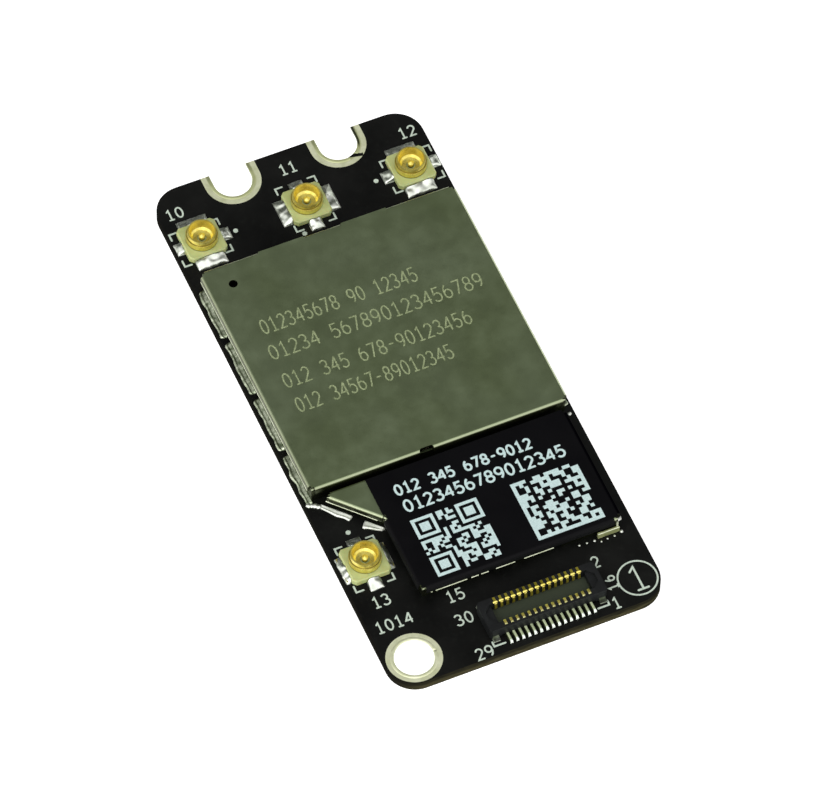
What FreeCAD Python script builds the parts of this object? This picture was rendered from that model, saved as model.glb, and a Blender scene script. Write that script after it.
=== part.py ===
import FreeCAD, Part
import os

# Laptop wireless card: a small black board that carries two folded metal shields, four antenna
# jacks, a board-to-board connector, one plated mounting hole and two plated notches.
# Millimetres. The origin is the middle of the board's underside, +Z points up through the
# components and +Y points to the end with three jacks.

Vector = FreeCAD.Vector
UP = Vector(0, 0, 1)
touching = 1e-6

# Board
board_width = 18.25
board_length = 40.0
board_thickness = 0.8

# Plated hole and notches
hole_radius = 1.25
hole_pad_width = 0.52
hole_edge_margin = 0.06
board_corner_margin = 0.13
notch_radius = 1.25
notch_pad_width = 0.6
notch_spacing = 7.26
notch_depth = 0.9
scrape_length = 1.3
scrape_width = 0.22
scrape_tilt = -13.0
scrape_depth = 0.05

# Solder lands
land_thickness = 0.06
land_edge_margin = 0.06

# Antenna jacks
left_jack_side_inset = 1.845
right_jack_side_inset = 2.005
jack_row_inset = 4.58
front_jack_side_inset = 1.755
front_jack_inset = 9.25
row_jack_turns = (0, -90, 180)
front_jack_turn = 90
jack_body_width = 2.6
jack_body_height = 0.42
jack_body_corner = 0.22
jack_body_edge = 0.07
jack_height = 1.19
barrel_radius = 1.03
barrel_base_wall = 0.33
barrel_ring_top = 0.86
barrel_groove_height = 0.05
barrel_groove_depth = 0.16
barrel_bead_step = 0.08
barrel_bead_taper = 0.03
barrel_lip_width = 0.09
dish_edge_radius = 0.73
dish_edge_height = 0.19
dish_bend_radius = 0.58
dish_bend_height = 0.08
dish_inner_radius = 0.3
dish_thickness = 0.03
pin_radius = 0.2
pin_height = 0.86
pin_tip = 0.14
pin_shank = 0.28
leg_thickness = 0.12
leg_neck_width = 0.36
leg_neck_margin = 0.03
leg_foot_length = 0.28
ground_leg_width = 1.8
side_leg_width = 0.6
ground_land_width = 2.0
side_land_width = 0.92
land_overlap = 0.12
land_length = 0.65
side_land_length = 0.68
front_land_length = 0.35

# Shields
shield_side_margin = 0.35
shield_rear_inset = 7.57
shield_front_inset = 5.5
front_shield_length = 8.88
front_shield_left_inset = 3.87
front_shield_right_margin = 0.83
front_shield_bevel_run = 2.95
front_shield_bevel_rise = 3.15
shield_spacing = 0.22
main_shield_height = 1.45
front_shield_height = 1.05
skirt_height = 0.5
sheet_thickness = 0.15
fold_radius = 0.2
lid_fit = 0.03
frame_ledge = 0.55
corner_relief = 0.18
foot_pitch = 4.6
foot_gap_width = 0.5
foot_gap_height = 0.3
foot_shift = 0.23
vent_radius = 0.285
vent_left_inset = 1.705
vent_rear_inset = 1.63
pry_slot_width = 0.95
pry_slot_depth = 0.24
pry_frame_depth = 0.5
pry_slot_corner = 0.19
pry_slot_shift = -0.86
tongue_width = 3.1
tongue_spacing = 5.66
tongue_shift = -0.33

# Solder along the shield feet
solder_width = 0.46
solder_height = 0.36
solder_end_gap = 0.1
solder_corner_gap = 0.6
solder_sag = 0.33
main_soldered_sides = (1, 2, 3)
front_soldered_sides = (1, 3)

# Label
label_thickness = 0.06
label_edge_margin = 0.05
label_rear_margin = 0.12
flap_edge_margin = 0.07
flap_bare_end = 0.12

# Board-to-board connector
connector_shift = 1.43
connector_inset = 2.27
housing_length = 7.86
housing_width = 2.26
housing_height = 0.9
housing_corner = 0.15
slot_length = 6.3
slot_width = 1.37
slot_floor = 0.22
guide_recess_length = 7.3
guide_recess_depth = 0.2
guide_recess_corner = 0.41
contact_pitch = 0.4
contacts_per_row = 15
contact_width = 0.16
contact_thickness = 0.1
contact_proud = 0.04
contact_over = 0.26
contact_bend = 0.08
front_tail_length = 0.7
rear_tail_length = 0.42
connector_land_overlap = 0.06
connector_land_extra = 0.03
nail_width = 0.42
nail_thickness = 0.1
nail_height = 0.24
nail_foot_length = 0.26

# Parts under the main shield, laid out from the walls of its room
wall_gap = 0.6
part_gap = 0.4
radio_chip_size = 4.8
radio_chip_height = 0.85
amplifier_pitch = 4.6
amplifier_size = 2.2
amplifier_height = 0.75
filter_length = 2.0
filter_width = 1.25
filter_height = 0.7
crystal_length = 3.2
crystal_width = 2.5
crystal_height = 0.7
memory_length = 3.0
memory_width = 2.0
memory_height = 0.6
inductor_length = 2.0
inductor_width = 1.6
inductor_height = 0.95
inductor_count = 2
regulator_size = 2.5
regulator_height = 0.8
chip_mark = 0.3
chip_edge = 0.08
can_edge = 0.12

# Parts under the front shield
second_chip_size = 4.0
second_chip_height = 0.6
second_crystal_length = 2.0
second_crystal_width = 1.6
second_crystal_height = 0.5
second_memory_length = 3.0
second_memory_width = 2.0
second_memory_height = 0.55

# Small chip capacitors and resistors
chip_cap_length = 1.0
chip_cap_width = 0.5
chip_cap_height = 0.5
chip_cap_pitch = 1.1
chip_resistor_height = 0.32

# Places that several pieces share
board_top = board_thickness
land_top = board_top + land_thickness
half_width = board_width / 2
half_length = board_length / 2
hole_inset = hole_radius + hole_pad_width + hole_edge_margin
hole_centre = Vector(hole_inset - half_width, hole_inset - half_length, 0)
corner_radius = hole_radius + hole_pad_width + board_corner_margin
notch_y = half_length - notch_depth
jack_row_y = half_length - jack_row_inset
left_jack_x = left_jack_side_inset - half_width
right_jack_x = half_width - right_jack_side_inset
middle_jack_x = (left_jack_x + right_jack_x) / 2
half_jack = jack_body_width / 2

main_left = shield_side_margin - half_width
main_right = half_width - shield_side_margin
main_rear = half_length - shield_rear_inset
front_front = shield_front_inset - half_length
front_rear = front_front + front_shield_length
main_front = front_rear + shield_spacing
front_left = front_shield_left_inset - half_width
front_right = half_width - front_shield_right_margin
main_top = board_top + main_shield_height
front_top = board_top + front_shield_height
main_skirt_low = main_top - skirt_height
front_skirt_low = front_top - skirt_height
frame_inset = sheet_thickness + lid_fit
inner_inset = frame_inset + sheet_thickness

connector_y = connector_inset - half_length
contact_row_length = contact_pitch * (contacts_per_row - 1)
half_housing = housing_width / 2
half_slot = slot_width / 2
tail_lengths = {1: rear_tail_length, -1: front_tail_length}

main_outline = [
    Vector(main_left, main_front, 0),
    Vector(main_right, main_front, 0),
    Vector(main_right, main_rear, 0),
    Vector(main_left, main_rear, 0),
]
front_outline = [
    Vector(front_left, front_front, 0),
    Vector(front_right, front_front, 0),
    Vector(front_right, front_rear, 0),
    Vector(front_left - front_shield_bevel_run, front_rear, 0),
    Vector(front_left, front_rear - front_shield_bevel_rise, 0),
]


# Shared shapes
def block(x, y, low, size_x, size_y, height):
    """A box centred on x and y that stands on low."""
    return Part.makeBox(size_x, size_y, height, Vector(x - size_x / 2, y - size_y / 2, low))


def span(x0, x1, y0, y1, z0, z1):
    """A box between two corners, in either order."""
    low = Vector(min(x0, x1), min(y0, y1), min(z0, z1))
    return Part.makeBox(abs(x1 - x0), abs(y1 - y0), abs(z1 - z0), low)


def is_upright(edge):
    ends = edge.Vertexes
    return len(ends) == 2 and (ends[0].Point - ends[1].Point).normalize().cross(UP).Length < touching


def upright_edges(shape):
    return [edge for edge in shape.Edges if is_upright(edge)]


def top_edges(shape):
    top = shape.BoundBox.ZMax
    return [edge for edge in shape.Edges if abs(edge.BoundBox.ZMin - top) < touching]


def prism(face, low, height):
    """A flat face lifted to low and drawn up by height."""
    return face.translated(Vector(0, 0, low)).extrude(UP * height)


def sides(outline):
    """Each side of an outline as its start, its direction, its length and its outward normal."""
    for start, end in zip(outline, outline[1:] + outline[:1]):
        along = end - start
        length = along.Length
        along.normalize()
        yield start, along, length, along.cross(UP)


def drawn_in(outline, inset):
    """The corners of an outline whose sides have all moved in by inset."""
    normals = [normal for start, along, length, normal in sides(outline)]
    corners = []
    for corner, before, after in zip(outline, normals[-1:] + normals[:-1], normals):
        corners.append(corner - (before + after) * (inset / (1 + before.dot(after))))
    return corners


def outline_face(outline, inset=0.0):
    """The face inside an outline, drawn in by inset with square corners."""
    corners = drawn_in(outline, inset)
    return Part.Face(Part.makePolygon(corners + corners[:1]))


def turned(points):
    """A solid of revolution about Z from a closed profile of radius and height."""
    corners = [Vector(radius, 0, height) for radius, height in points]
    face = Part.Face(Part.makePolygon(corners + corners[:1]))
    return face.revolve(Vector(0, 0, 0), UP, 360)


def moulded_chip(x, y, length, width, height):
    """A black moulded package with broken top edges and one cut corner as its mark."""
    chip = block(x, y, board_top, length, width, height)
    marked = [edge for edge in upright_edges(chip)
              if edge.BoundBox.XMin < x and edge.BoundBox.YMin > y]
    chip = chip.makeChamfer(chip_mark, marked)
    return chip.makeChamfer(chip_edge, top_edges(chip))


def metal_can(x, y, length, width, height):
    """A small sealed can with cut corners and a raised lid."""
    can = block(x, y, board_top, length, width, height)
    can = can.makeChamfer(2 * can_edge, upright_edges(can))
    return can.makeChamfer(can_edge, top_edges(can))


def chip_part(x, y, height):
    """A chip capacitor or resistor along Y."""
    return block(x, y, board_top, chip_cap_width, chip_cap_length, height)


# Board and its plated openings
def hole_prism(radius, low, height):
    return Part.makeCylinder(radius, height, hole_centre + UP * low)


def notch_prism(side):
    """Makes the upright prism of a notch: a round inner end and straight sides to the rear edge."""
    x = side * notch_spacing / 2

    def make(radius, low, height):
        left = Vector(x - radius, notch_y, 0)
        right = Vector(x + radius, notch_y, 0)
        deepest = Vector(x, notch_y - radius, 0)
        rear_left = Vector(x - radius, half_length, 0)
        rear_right = Vector(x + radius, half_length, 0)
        edges = [
            Part.LineSegment(rear_left, left).toShape(),
            Part.Arc(left, deepest, right).toShape(),
            Part.LineSegment(right, rear_right).toShape(),
            Part.LineSegment(rear_right, rear_left).toShape(),
        ]
        return prism(Part.Face(Part.Wire(edges)), low, height)

    return make


def plated_ring(opening, radius, pad_width):
    """The plating of an opening: a ring as wide as its pads, through the board."""
    outer = opening(radius + pad_width, 0, board_thickness)
    return outer.cut(opening(radius, 0, board_thickness))


def plating_scrape():
    """The streak across the right notch where the plating of the upper face is scraped off."""
    streak = block(0, 0, board_top - scrape_depth, scrape_length, scrape_width, scrape_depth)
    streak.rotate(Vector(0, 0, 0), UP, scrape_tilt)
    x = notch_spacing / 2 + notch_pad_width
    y = notch_y - notch_radius
    return streak.translated(Vector(x, y, 0))


def make_board():
    """The laminate with rounded corners, open where the plated rings sit."""
    board = block(0, 0, 0, board_width, board_length, board_thickness)
    board = board.makeFillet(corner_radius, upright_edges(board))
    seats = [hole_prism(hole_radius + hole_pad_width, 0, board_thickness)]
    for side in (-1, 1):
        seats.append(notch_prism(side)(notch_radius + notch_pad_width, 0, board_thickness))
    return board.cut(seats)


# Antenna jacks, made with the signal tail towards +X and the base on z = 0
def jack_shell():
    """The gold barrel with a groove, a lip and a dished floor, on two wide legs and a narrow one."""
    inner = barrel_radius - barrel_base_wall
    bead = barrel_radius - barrel_bead_step
    groove_top = barrel_ring_top + barrel_groove_height
    mouth = bead - barrel_bead_taper
    barrel = turned([
        (dish_inner_radius, jack_body_height),
        (barrel_radius, jack_body_height),
        (barrel_radius, barrel_ring_top),
        (barrel_radius - barrel_groove_depth, (barrel_ring_top + groove_top) / 2),
        (bead, groove_top),
        (mouth, jack_height),
        (mouth - barrel_lip_width, jack_height),
        (dish_edge_radius, jack_body_height + dish_edge_height),
        (dish_bend_radius, jack_body_height + dish_bend_height),
        (dish_inner_radius, jack_body_height + dish_thickness),
    ])
    foot = half_jack + leg_foot_length
    neck_in = inner + leg_neck_margin
    neck_out = barrel_radius - leg_neck_margin
    half_neck = leg_neck_width / 2
    half_ground = ground_leg_width / 2
    half_side = side_leg_width / 2
    legs = []
    for side in (-1, 1):
        legs.append(span(-half_neck, half_neck, side * neck_in, side * neck_out, 0, jack_body_height))
        legs.append(span(-half_ground, half_ground, side * neck_in, side * foot, 0, leg_thickness))
    legs.append(span(-neck_in, -neck_out, -half_neck, half_neck, 0, jack_body_height))
    legs.append(span(-neck_in, -foot, -half_side, half_side, 0, leg_thickness))
    return barrel.fuse(legs).removeSplitter()


def jack_pin():
    """The round centre contact with a pointed tip, on a square shank with a flat signal tail."""
    post = turned([
        (0, jack_body_height),
        (pin_radius, jack_body_height),
        (pin_radius, pin_height - pin_tip),
        (0, pin_height),
    ])
    shank = block(0, 0, 0, pin_shank, pin_shank, jack_body_height)
    half_tail = side_leg_width / 2
    tail = span(-pin_shank / 2, half_jack + leg_foot_length, -half_tail, half_tail, 0, leg_thickness)
    return post.fuse([shank, tail]).removeSplitter()


def jack_insulator(shell, pin):
    """The square moulded base, moulded round the shell and the centre contact."""
    base = block(0, 0, 0, jack_body_width, jack_body_width, jack_body_height)
    base = base.makeChamfer(jack_body_corner, upright_edges(base))
    base = base.makeChamfer(jack_body_edge, top_edges(base))
    return base.cut([shell, pin]).removeSplitter()


def jack_lands(ground_length):
    """The four solder lands of one jack, in its own place."""
    near = half_jack - land_overlap
    half_ground = ground_land_width / 2
    half_side = side_land_width / 2
    lands = []
    for side in (-1, 1):
        far = half_jack + ground_length
        lands.append(span(-half_ground, half_ground, side * near, side * far, -land_thickness, 0))
    for side, length in ((-1, side_land_length), (1, land_length)):
        far = half_jack + length
        lands.append(span(side * near, side * far, -half_side, half_side, -land_thickness, 0))
    return lands


def jack_places():
    """Each jack's number, place on the board, turn and the length of its ground lands."""
    places = []
    row = zip((left_jack_x, middle_jack_x, right_jack_x), row_jack_turns)
    for number, (x, turn) in enumerate(row):
        places.append((number, Vector(x, jack_row_y, land_top), turn, land_length))
    front = Vector(front_jack_side_inset - half_width, front_jack_inset - half_length, land_top)
    places.append((len(row_jack_turns), front, front_jack_turn, front_land_length))
    return places


def seat(shape, place, turn):
    """A copy of a jack piece turned and moved to its place."""
    copy = shape.copy()
    copy.rotate(Vector(0, 0, 0), UP, turn)
    return copy.translated(place)


# Shields
def foot_gaps(length):
    """The middles of the gaps in one side's foot, evenly pitched about a point beside its middle."""
    count = max(1, int(length / foot_pitch))
    first = length / 2 - foot_pitch * (count - 1) / 2 + foot_shift
    return [first + foot_pitch * number for number in range(count)]


def side_block(start, along, normal, middle, length, depth, low, height):
    """A block across one side: length runs along the side and depth reaches each way from it."""
    corners = []
    for step, out in ((-1, -1), (1, -1), (1, 1), (-1, 1)):
        corners.append(start + along * (middle + step * length / 2) + normal * (out * depth))
    return prism(outline_face(corners), low, height)


def skirt_profile(root, normal, top):
    """The section of a fold and its skirt, outwards and down from the edge of the flat top."""
    inner_radius = fold_radius - sheet_thickness
    axis = root + UP * (top - fold_radius)
    slant = (normal + UP).normalize()
    low = UP * (top - skirt_height - axis.z)
    outer_side = axis + normal * fold_radius
    inner_side = axis + normal * inner_radius
    outer_top = axis + UP * fold_radius
    inner_top = axis + UP * inner_radius
    inside = inner_side + UP * inner_radius
    edges = [
        Part.Arc(outer_top, axis + slant * fold_radius, outer_side).toShape(),
        Part.LineSegment(outer_side, outer_side + low).toShape(),
        Part.LineSegment(outer_side + low, inner_side + low).toShape(),
        Part.LineSegment(inner_side + low, inside).toShape(),
        Part.LineSegment(inside, inner_top).toShape(),
        Part.LineSegment(inner_top, outer_top).toShape(),
    ]
    return Part.Face(Part.Wire(edges))


def folded_lid(outline, top):
    """A lid folded from sheet: a flat top and a skirt along each side, open at the corners."""
    flat = drawn_in(outline, fold_radius)
    lid = prism(outline_face(flat), top - sheet_thickness, sheet_thickness)
    skirts = []
    for start, along, length, normal in sides(flat):
        section = skirt_profile(start + along * corner_relief, normal, top)
        skirts.append(section.extrude(along * (length - 2 * corner_relief)))
    return lid.fuse(skirts).removeSplitter()


def lid_tongues():
    """The two stretches of the rear edge that stay flat, and the same stretches of the skirt."""
    flat_edge = main_rear - fold_radius
    tongues = []
    gaps = []
    for side in (-1, 1):
        low_x = tongue_shift + side * tongue_spacing / 2 - tongue_width / 2
        high_x = low_x + tongue_width
        tongues.append(span(low_x, high_x, flat_edge, main_rear, main_top - sheet_thickness, main_top))
        gaps.append(span(low_x, high_x, flat_edge, main_rear, main_skirt_low, main_top))
    return tongues, gaps


def pry_slot(depth):
    """The pry slot in the middle of the main shield's front edge, as deep as the piece that it cuts."""
    slot = block(pry_slot_shift, main_front, main_skirt_low, pry_slot_width, 2 * depth, skirt_height)
    return slot.makeFillet(pry_slot_corner, upright_edges(slot))


def make_main_lid():
    """The lid of the main shield, with a small vent, a pry slot and two flat tongues."""
    tongues, gaps = lid_tongues()
    lid = folded_lid(main_outline, main_top).cut(gaps).fuse(tongues).removeSplitter()
    vent = Vector(main_left + vent_left_inset, main_rear - vent_rear_inset, main_skirt_low)
    lid = lid.cut(Part.makeCylinder(vent_radius, skirt_height, vent))
    return lid.cut(pry_slot(pry_slot_depth))


def shield_frame(outline, top):
    """The soldered fence under a lid: a wall with gaps in its foot and a ledge that carries the lid."""
    height = top - sheet_thickness - board_top
    fence = prism(outline_face(outline, frame_inset), board_top, height)
    fence = fence.makeChamfer(sheet_thickness, top_edges(fence))
    room = prism(outline_face(outline, inner_inset), board_top, height - sheet_thickness)
    window = prism(outline_face(outline, inner_inset + frame_ledge), board_top, height)
    cuts = [room, window]
    for start, along, length, normal in sides(outline):
        for middle in foot_gaps(length):
            cuts.append(side_block(start, along, normal, middle, foot_gap_width, inner_inset,
                                   board_top, foot_gap_height))
    return fence.cut(cuts).removeSplitter()


def fillet_run(start, along, normal, begin, end):
    """A run of solder with a hollow face, against the foot of a frame."""
    heel = start + along * begin - normal * frame_inset + UP * board_top
    toe = heel + normal * solder_width
    crest = heel + UP * solder_height
    hollow = heel + normal * (solder_width * solder_sag) + UP * (solder_height * solder_sag)
    section = Part.Face(Part.makePolygon([heel, toe, hollow, crest, heel]))
    return section.extrude(along * (end - begin))


def shield_solder(outline, soldered):
    """The runs of solder between the gaps of the soldered sides, which are numbered from the front one."""
    runs = []
    for number, (start, along, length, normal) in enumerate(sides(outline)):
        if number not in soldered:
            continue
        gaps = foot_gaps(length)
        half_gap = foot_gap_width / 2
        begins = [solder_corner_gap] + [middle + half_gap + solder_end_gap for middle in gaps]
        ends = [middle - half_gap - solder_end_gap for middle in gaps] + [length - solder_corner_gap]
        for begin, end in zip(begins, ends):
            runs.append(fillet_run(start, along, normal, begin, end))
    return runs


def film_flap(root, normal, run):
    """A part of the label that is folded over an edge of the lid and hangs down its skirt."""
    film_radius = fold_radius + label_thickness
    axis = root + UP * (front_top - fold_radius)
    slant = (normal + UP).normalize()
    low = UP * (front_skirt_low + flap_edge_margin - axis.z)
    outer_side = axis + normal * film_radius
    inner_side = axis + normal * fold_radius
    outer_top = axis + UP * film_radius
    inner_top = axis + UP * fold_radius
    edges = [
        Part.Arc(outer_top, axis + slant * film_radius, outer_side).toShape(),
        Part.LineSegment(outer_side, outer_side + low).toShape(),
        Part.LineSegment(outer_side + low, inner_side + low).toShape(),
        Part.LineSegment(inner_side + low, inner_side).toShape(),
        Part.Arc(inner_side, axis + slant * fold_radius, inner_top).toShape(),
        Part.LineSegment(inner_top, outer_top).toShape(),
    ]
    return Part.Face(Part.Wire(edges)).extrude(run)


def make_label():
    """The film on the front shield's lid, folded down over its left, front and right skirts."""
    left = front_left + fold_radius
    right = front_right - fold_radius
    front = front_front + fold_radius
    rear = front_rear - label_rear_margin
    bend_end = front_rear - front_shield_bevel_rise
    top = front_top + label_thickness
    film = span(left, right, front, rear, front_top, top)
    wide = span(front_left + label_edge_margin, left, bend_end + fold_radius, rear, front_top, top)
    flap_left = left + corner_relief
    flap_front = front + corner_relief
    left_run = bend_end - corner_relief - flap_front
    front_run = right - corner_relief - flap_bare_end - flap_left
    right_run = front_rear - fold_radius - corner_relief - flap_front
    flaps = [
        film_flap(Vector(left, flap_front, 0), Vector(-1, 0, 0), Vector(0, left_run, 0)),
        film_flap(Vector(flap_left, front, 0), Vector(0, -1, 0), Vector(front_run, 0, 0)),
        film_flap(Vector(right, flap_front, 0), Vector(1, 0, 0), Vector(0, right_run, 0)),
    ]
    return film.fuse([wide] + flaps).removeSplitter()


# Board-to-board connector, made about its own middle with its base on z = 0
def connector_contact(tail_length):
    """One contact of the row on the +Y side: tail, riser on the slot's wall and a turn over its top."""
    inner = half_slot - contact_proud
    back = inner + contact_thickness
    outer = half_housing + tail_length
    over = half_slot + contact_over
    under = housing_height - contact_thickness
    section = [
        (outer, 0),
        (inner + contact_bend, 0),
        (inner, contact_bend),
        (inner, housing_height - contact_bend),
        (inner + contact_bend, housing_height),
        (over, housing_height),
        (over, under),
        (back, under),
        (back, contact_thickness),
        (outer, contact_thickness),
    ]
    corners = [Vector(-contact_width / 2, y, z) for y, z in section]
    face = Part.Face(Part.makePolygon(corners + corners[:1]))
    return face.extrude(Vector(contact_width, 0, 0))


def contact_row(side):
    """The contacts of one row; side is 1 at the rear and -1 at the front."""
    contact = connector_contact(tail_lengths[side])
    if side < 0:
        contact.rotate(Vector(0, 0, 0), UP, 180)
    first = -contact_row_length / 2
    return [contact.translated(Vector(first + contact_pitch * number, 0, 0))
            for number in range(contacts_per_row)]


def connector_nails():
    """The four bent tabs that hold the housing's corners to the board."""
    nails = []
    x = (housing_length - nail_width) / 2 - housing_corner
    for end in (-1, 1):
        for side in (-1, 1):
            low_x = end * x - nail_width / 2
            high_x = end * x + nail_width / 2
            inner = side * (half_housing - nail_thickness)
            upright = span(low_x, high_x, inner, side * half_housing, 0, nail_height)
            foot = span(low_x, high_x, inner, side * (half_housing + nail_foot_length), 0, nail_thickness)
            nails.append(upright.fuse(foot).removeSplitter())
    return nails


def connector_housing(contacts, nails):
    """The moulded tray: two long walls over the tails, a sunk floor and guide recesses at both ends."""
    tray = block(0, 0, 0, housing_length, housing_width, housing_height)
    tray = tray.makeChamfer(housing_corner, upright_edges(tray))
    slot = block(0, 0, slot_floor, slot_length, slot_width, housing_height - slot_floor)
    recess = block(0, 0, housing_height - guide_recess_depth, guide_recess_length, slot_width,
                   guide_recess_depth)
    recess = recess.makeChamfer(guide_recess_corner, upright_edges(recess))
    relief = block(0, 0, 0, slot_length, housing_width, contact_thickness)
    sill = block(0, 0, 0, slot_length, slot_width - 2 * contact_proud, slot_floor)
    tray = tray.cut([slot, recess, relief]).fuse(sill)
    return tray.cut(contacts + nails).removeSplitter()


def connector_lands():
    """The solder lands under the tails and the corner tabs."""
    lands = []
    near = half_housing - connector_land_overlap
    half = contact_width / 2 + connector_land_extra
    nail_x = (housing_length - nail_width) / 2 - housing_corner
    nail_half = nail_width / 2 + connector_land_extra
    nail_far = half_housing + nail_foot_length + connector_land_extra
    for side in (-1, 1):
        far = half_housing + tail_lengths[side] + connector_land_extra
        for number in range(contacts_per_row):
            x = contact_pitch * number - contact_row_length / 2
            lands.append(span(x - half, x + half, side * near, side * far, -land_thickness, 0))
        for end in (-1, 1):
            x = end * nail_x
            lands.append(span(x - nail_half, x + nail_half, side * near, side * nail_far,
                              -land_thickness, 0))
    return lands


# Parts under the main shield
room_left = main_left + inner_inset
room_right = main_right - inner_inset
room_rear = main_rear - inner_inset
room_front = main_front + inner_inset
cap_row_depth = chip_cap_length + part_gap
radio_chip_y = room_front + wall_gap + cap_row_depth + radio_chip_size / 2


def make_filters():
    """One ceramic band filter for each antenna jack of the rear row, along the rear wall."""
    y = room_rear - wall_gap - filter_width / 2
    bodies = []
    for step in (-1, 0, 1):
        body = block(middle_jack_x + step * amplifier_pitch, y, board_top, filter_length, filter_width,
                     filter_height)
        bodies.append(body.makeChamfer(chip_edge, top_edges(body)))
    return bodies


def make_amplifiers():
    """One front-end module in front of each band filter."""
    y = room_rear - wall_gap - filter_width - part_gap - amplifier_size / 2
    return [moulded_chip(middle_jack_x + step * amplifier_pitch, y, amplifier_size, amplifier_size,
                         amplifier_height) for step in (-1, 0, 1)]


def make_memory():
    """The memory chip in the front left corner."""
    x = room_left + wall_gap + memory_width / 2
    y = room_front + wall_gap + memory_length / 2
    return moulded_chip(x, y, memory_width, memory_length, memory_height)


def make_crystal():
    """The crystal behind the memory chip."""
    x = room_left + wall_gap + crystal_width / 2
    y = room_front + wall_gap + memory_length + part_gap + crystal_length / 2
    return metal_can(x, y, crystal_width, crystal_length, crystal_height)


def make_regulator():
    """The power regulator in the front right corner."""
    x = room_right - wall_gap - regulator_size / 2
    y = room_front + wall_gap + regulator_size / 2
    return moulded_chip(x, y, regulator_size, regulator_size, regulator_height)


def make_inductors():
    """The power inductors behind the regulator: square cores with cut corners."""
    x = room_right - wall_gap - inductor_width / 2
    y = room_front + wall_gap + regulator_size + part_gap + inductor_length / 2
    cores = []
    for number in range(inductor_count):
        core_y = y + number * (inductor_length + part_gap)
        core = block(x, core_y, board_top, inductor_width, inductor_length, inductor_height)
        cores.append(core.makeChamfer(2 * chip_edge, upright_edges(core)))
    return cores


def cap_row(x, y, height, room):
    """A row of chip parts side by side along X about a point, as many as fit in the room."""
    count = max(1, int(room / chip_cap_pitch))
    first = x - chip_cap_pitch * (count - 1) / 2
    return [chip_part(first + chip_cap_pitch * number, y, height) for number in range(count)]


def cap_rows(x, y, chip_size, height):
    """A row of chip parts along the rear and the front of a square package."""
    out = chip_size / 2 + part_gap + chip_cap_length / 2
    return cap_row(x, y + out, height, chip_size) + cap_row(x, y - out, height, chip_size)


# Parts under the front shield, in a row from its left wall
front_room_left = front_left + inner_inset
front_room_middle = (front_front + front_rear) / 2
second_memory_x = front_room_left + wall_gap + second_memory_width / 2
second_chip_x = second_memory_x + second_memory_width / 2 + part_gap + second_chip_size / 2
second_crystal_x = second_chip_x + second_chip_size / 2 + part_gap + second_crystal_width / 2


def save(name, shape):
    """Writes one piece, or a group of like pieces, under its own name."""
    if isinstance(shape, list):
        shape = Part.makeCompound(shape)
    shape.exportStep("parts/" + name + ".step")


def save_board():
    save("board", make_board())
    save("mount_hole_plating", plated_ring(hole_prism, hole_radius, hole_pad_width))
    save("left_notch_plating", plated_ring(notch_prism(-1), notch_radius, notch_pad_width))
    right_ring = plated_ring(notch_prism(1), notch_radius, notch_pad_width)
    save("right_notch_plating", right_ring.cut(plating_scrape()))


def save_jacks():
    shell = jack_shell()
    pin = jack_pin()
    insulator = jack_insulator(shell, pin)
    lands = []
    for number, place, turn, ground_length in jack_places():
        name = "jack_%d_" % number
        save(name + "shell", seat(shell, place, turn))
        save(name + "pin", seat(pin, place, turn))
        save(name + "insulator", seat(insulator, place, turn))
        lands += [seat(land, place, turn) for land in jack_lands(ground_length)]
    field = block(0, 0, board_top, board_width - 2 * land_edge_margin, board_length, land_thickness)
    save("jack_lands", [land.common(field) for land in lands])


def save_shields():
    save("main_shield_frame", shield_frame(main_outline, main_top).cut(pry_slot(pry_frame_depth)))
    save("main_shield_lid", make_main_lid())
    save("main_shield_solder", shield_solder(main_outline, main_soldered_sides))
    save("front_shield_frame", shield_frame(front_outline, front_top))
    save("front_shield_lid", folded_lid(front_outline, front_top))
    save("front_shield_solder", shield_solder(front_outline, front_soldered_sides))
    save("label", make_label())


def save_connector():
    place = Vector(connector_shift, connector_y, land_top)
    rear = contact_row(1)
    front = contact_row(-1)
    nails = connector_nails()
    save("connector_housing", connector_housing(rear + front, nails).translated(place))
    save("connector_rear_contacts", [contact.translated(place) for contact in rear])
    save("connector_front_contacts", [contact.translated(place) for contact in front])
    save("connector_nails", [nail.translated(place) for nail in nails])
    save("connector_lands", [land.translated(place) for land in connector_lands()])


def save_inner_parts():
    save("radio_chip", moulded_chip(0, radio_chip_y, radio_chip_size, radio_chip_size, radio_chip_height))
    save("radio_capacitors", cap_rows(0, radio_chip_y, radio_chip_size, chip_cap_height))
    save("front_end_modules", make_amplifiers())
    save("band_filters", make_filters())
    save("radio_crystal", make_crystal())
    save("memory_chip", make_memory())
    save("power_inductors", make_inductors())
    save("power_regulator", make_regulator())
    save("second_radio_chip", moulded_chip(second_chip_x, front_room_middle, second_chip_size,
                                           second_chip_size, second_chip_height))
    save("second_radio_resistors", cap_rows(second_chip_x, front_room_middle, second_chip_size,
                                            chip_resistor_height))
    save("second_radio_crystal", metal_can(second_crystal_x, front_room_middle, second_crystal_width,
                                           second_crystal_length, second_crystal_height))
    save("second_radio_memory", moulded_chip(second_memory_x, front_room_middle, second_memory_width,
                                             second_memory_length, second_memory_height))


os.makedirs("parts", exist_ok=True)
save_board()
save_jacks()
save_shields()
save_connector()
save_inner_parts()
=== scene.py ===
"""Looks of the laptop wireless card: finishes, solder, print, floor, light and camera."""
import math
import bmesh
import bpy
from mathutils import Matrix, Vector, noise


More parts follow.
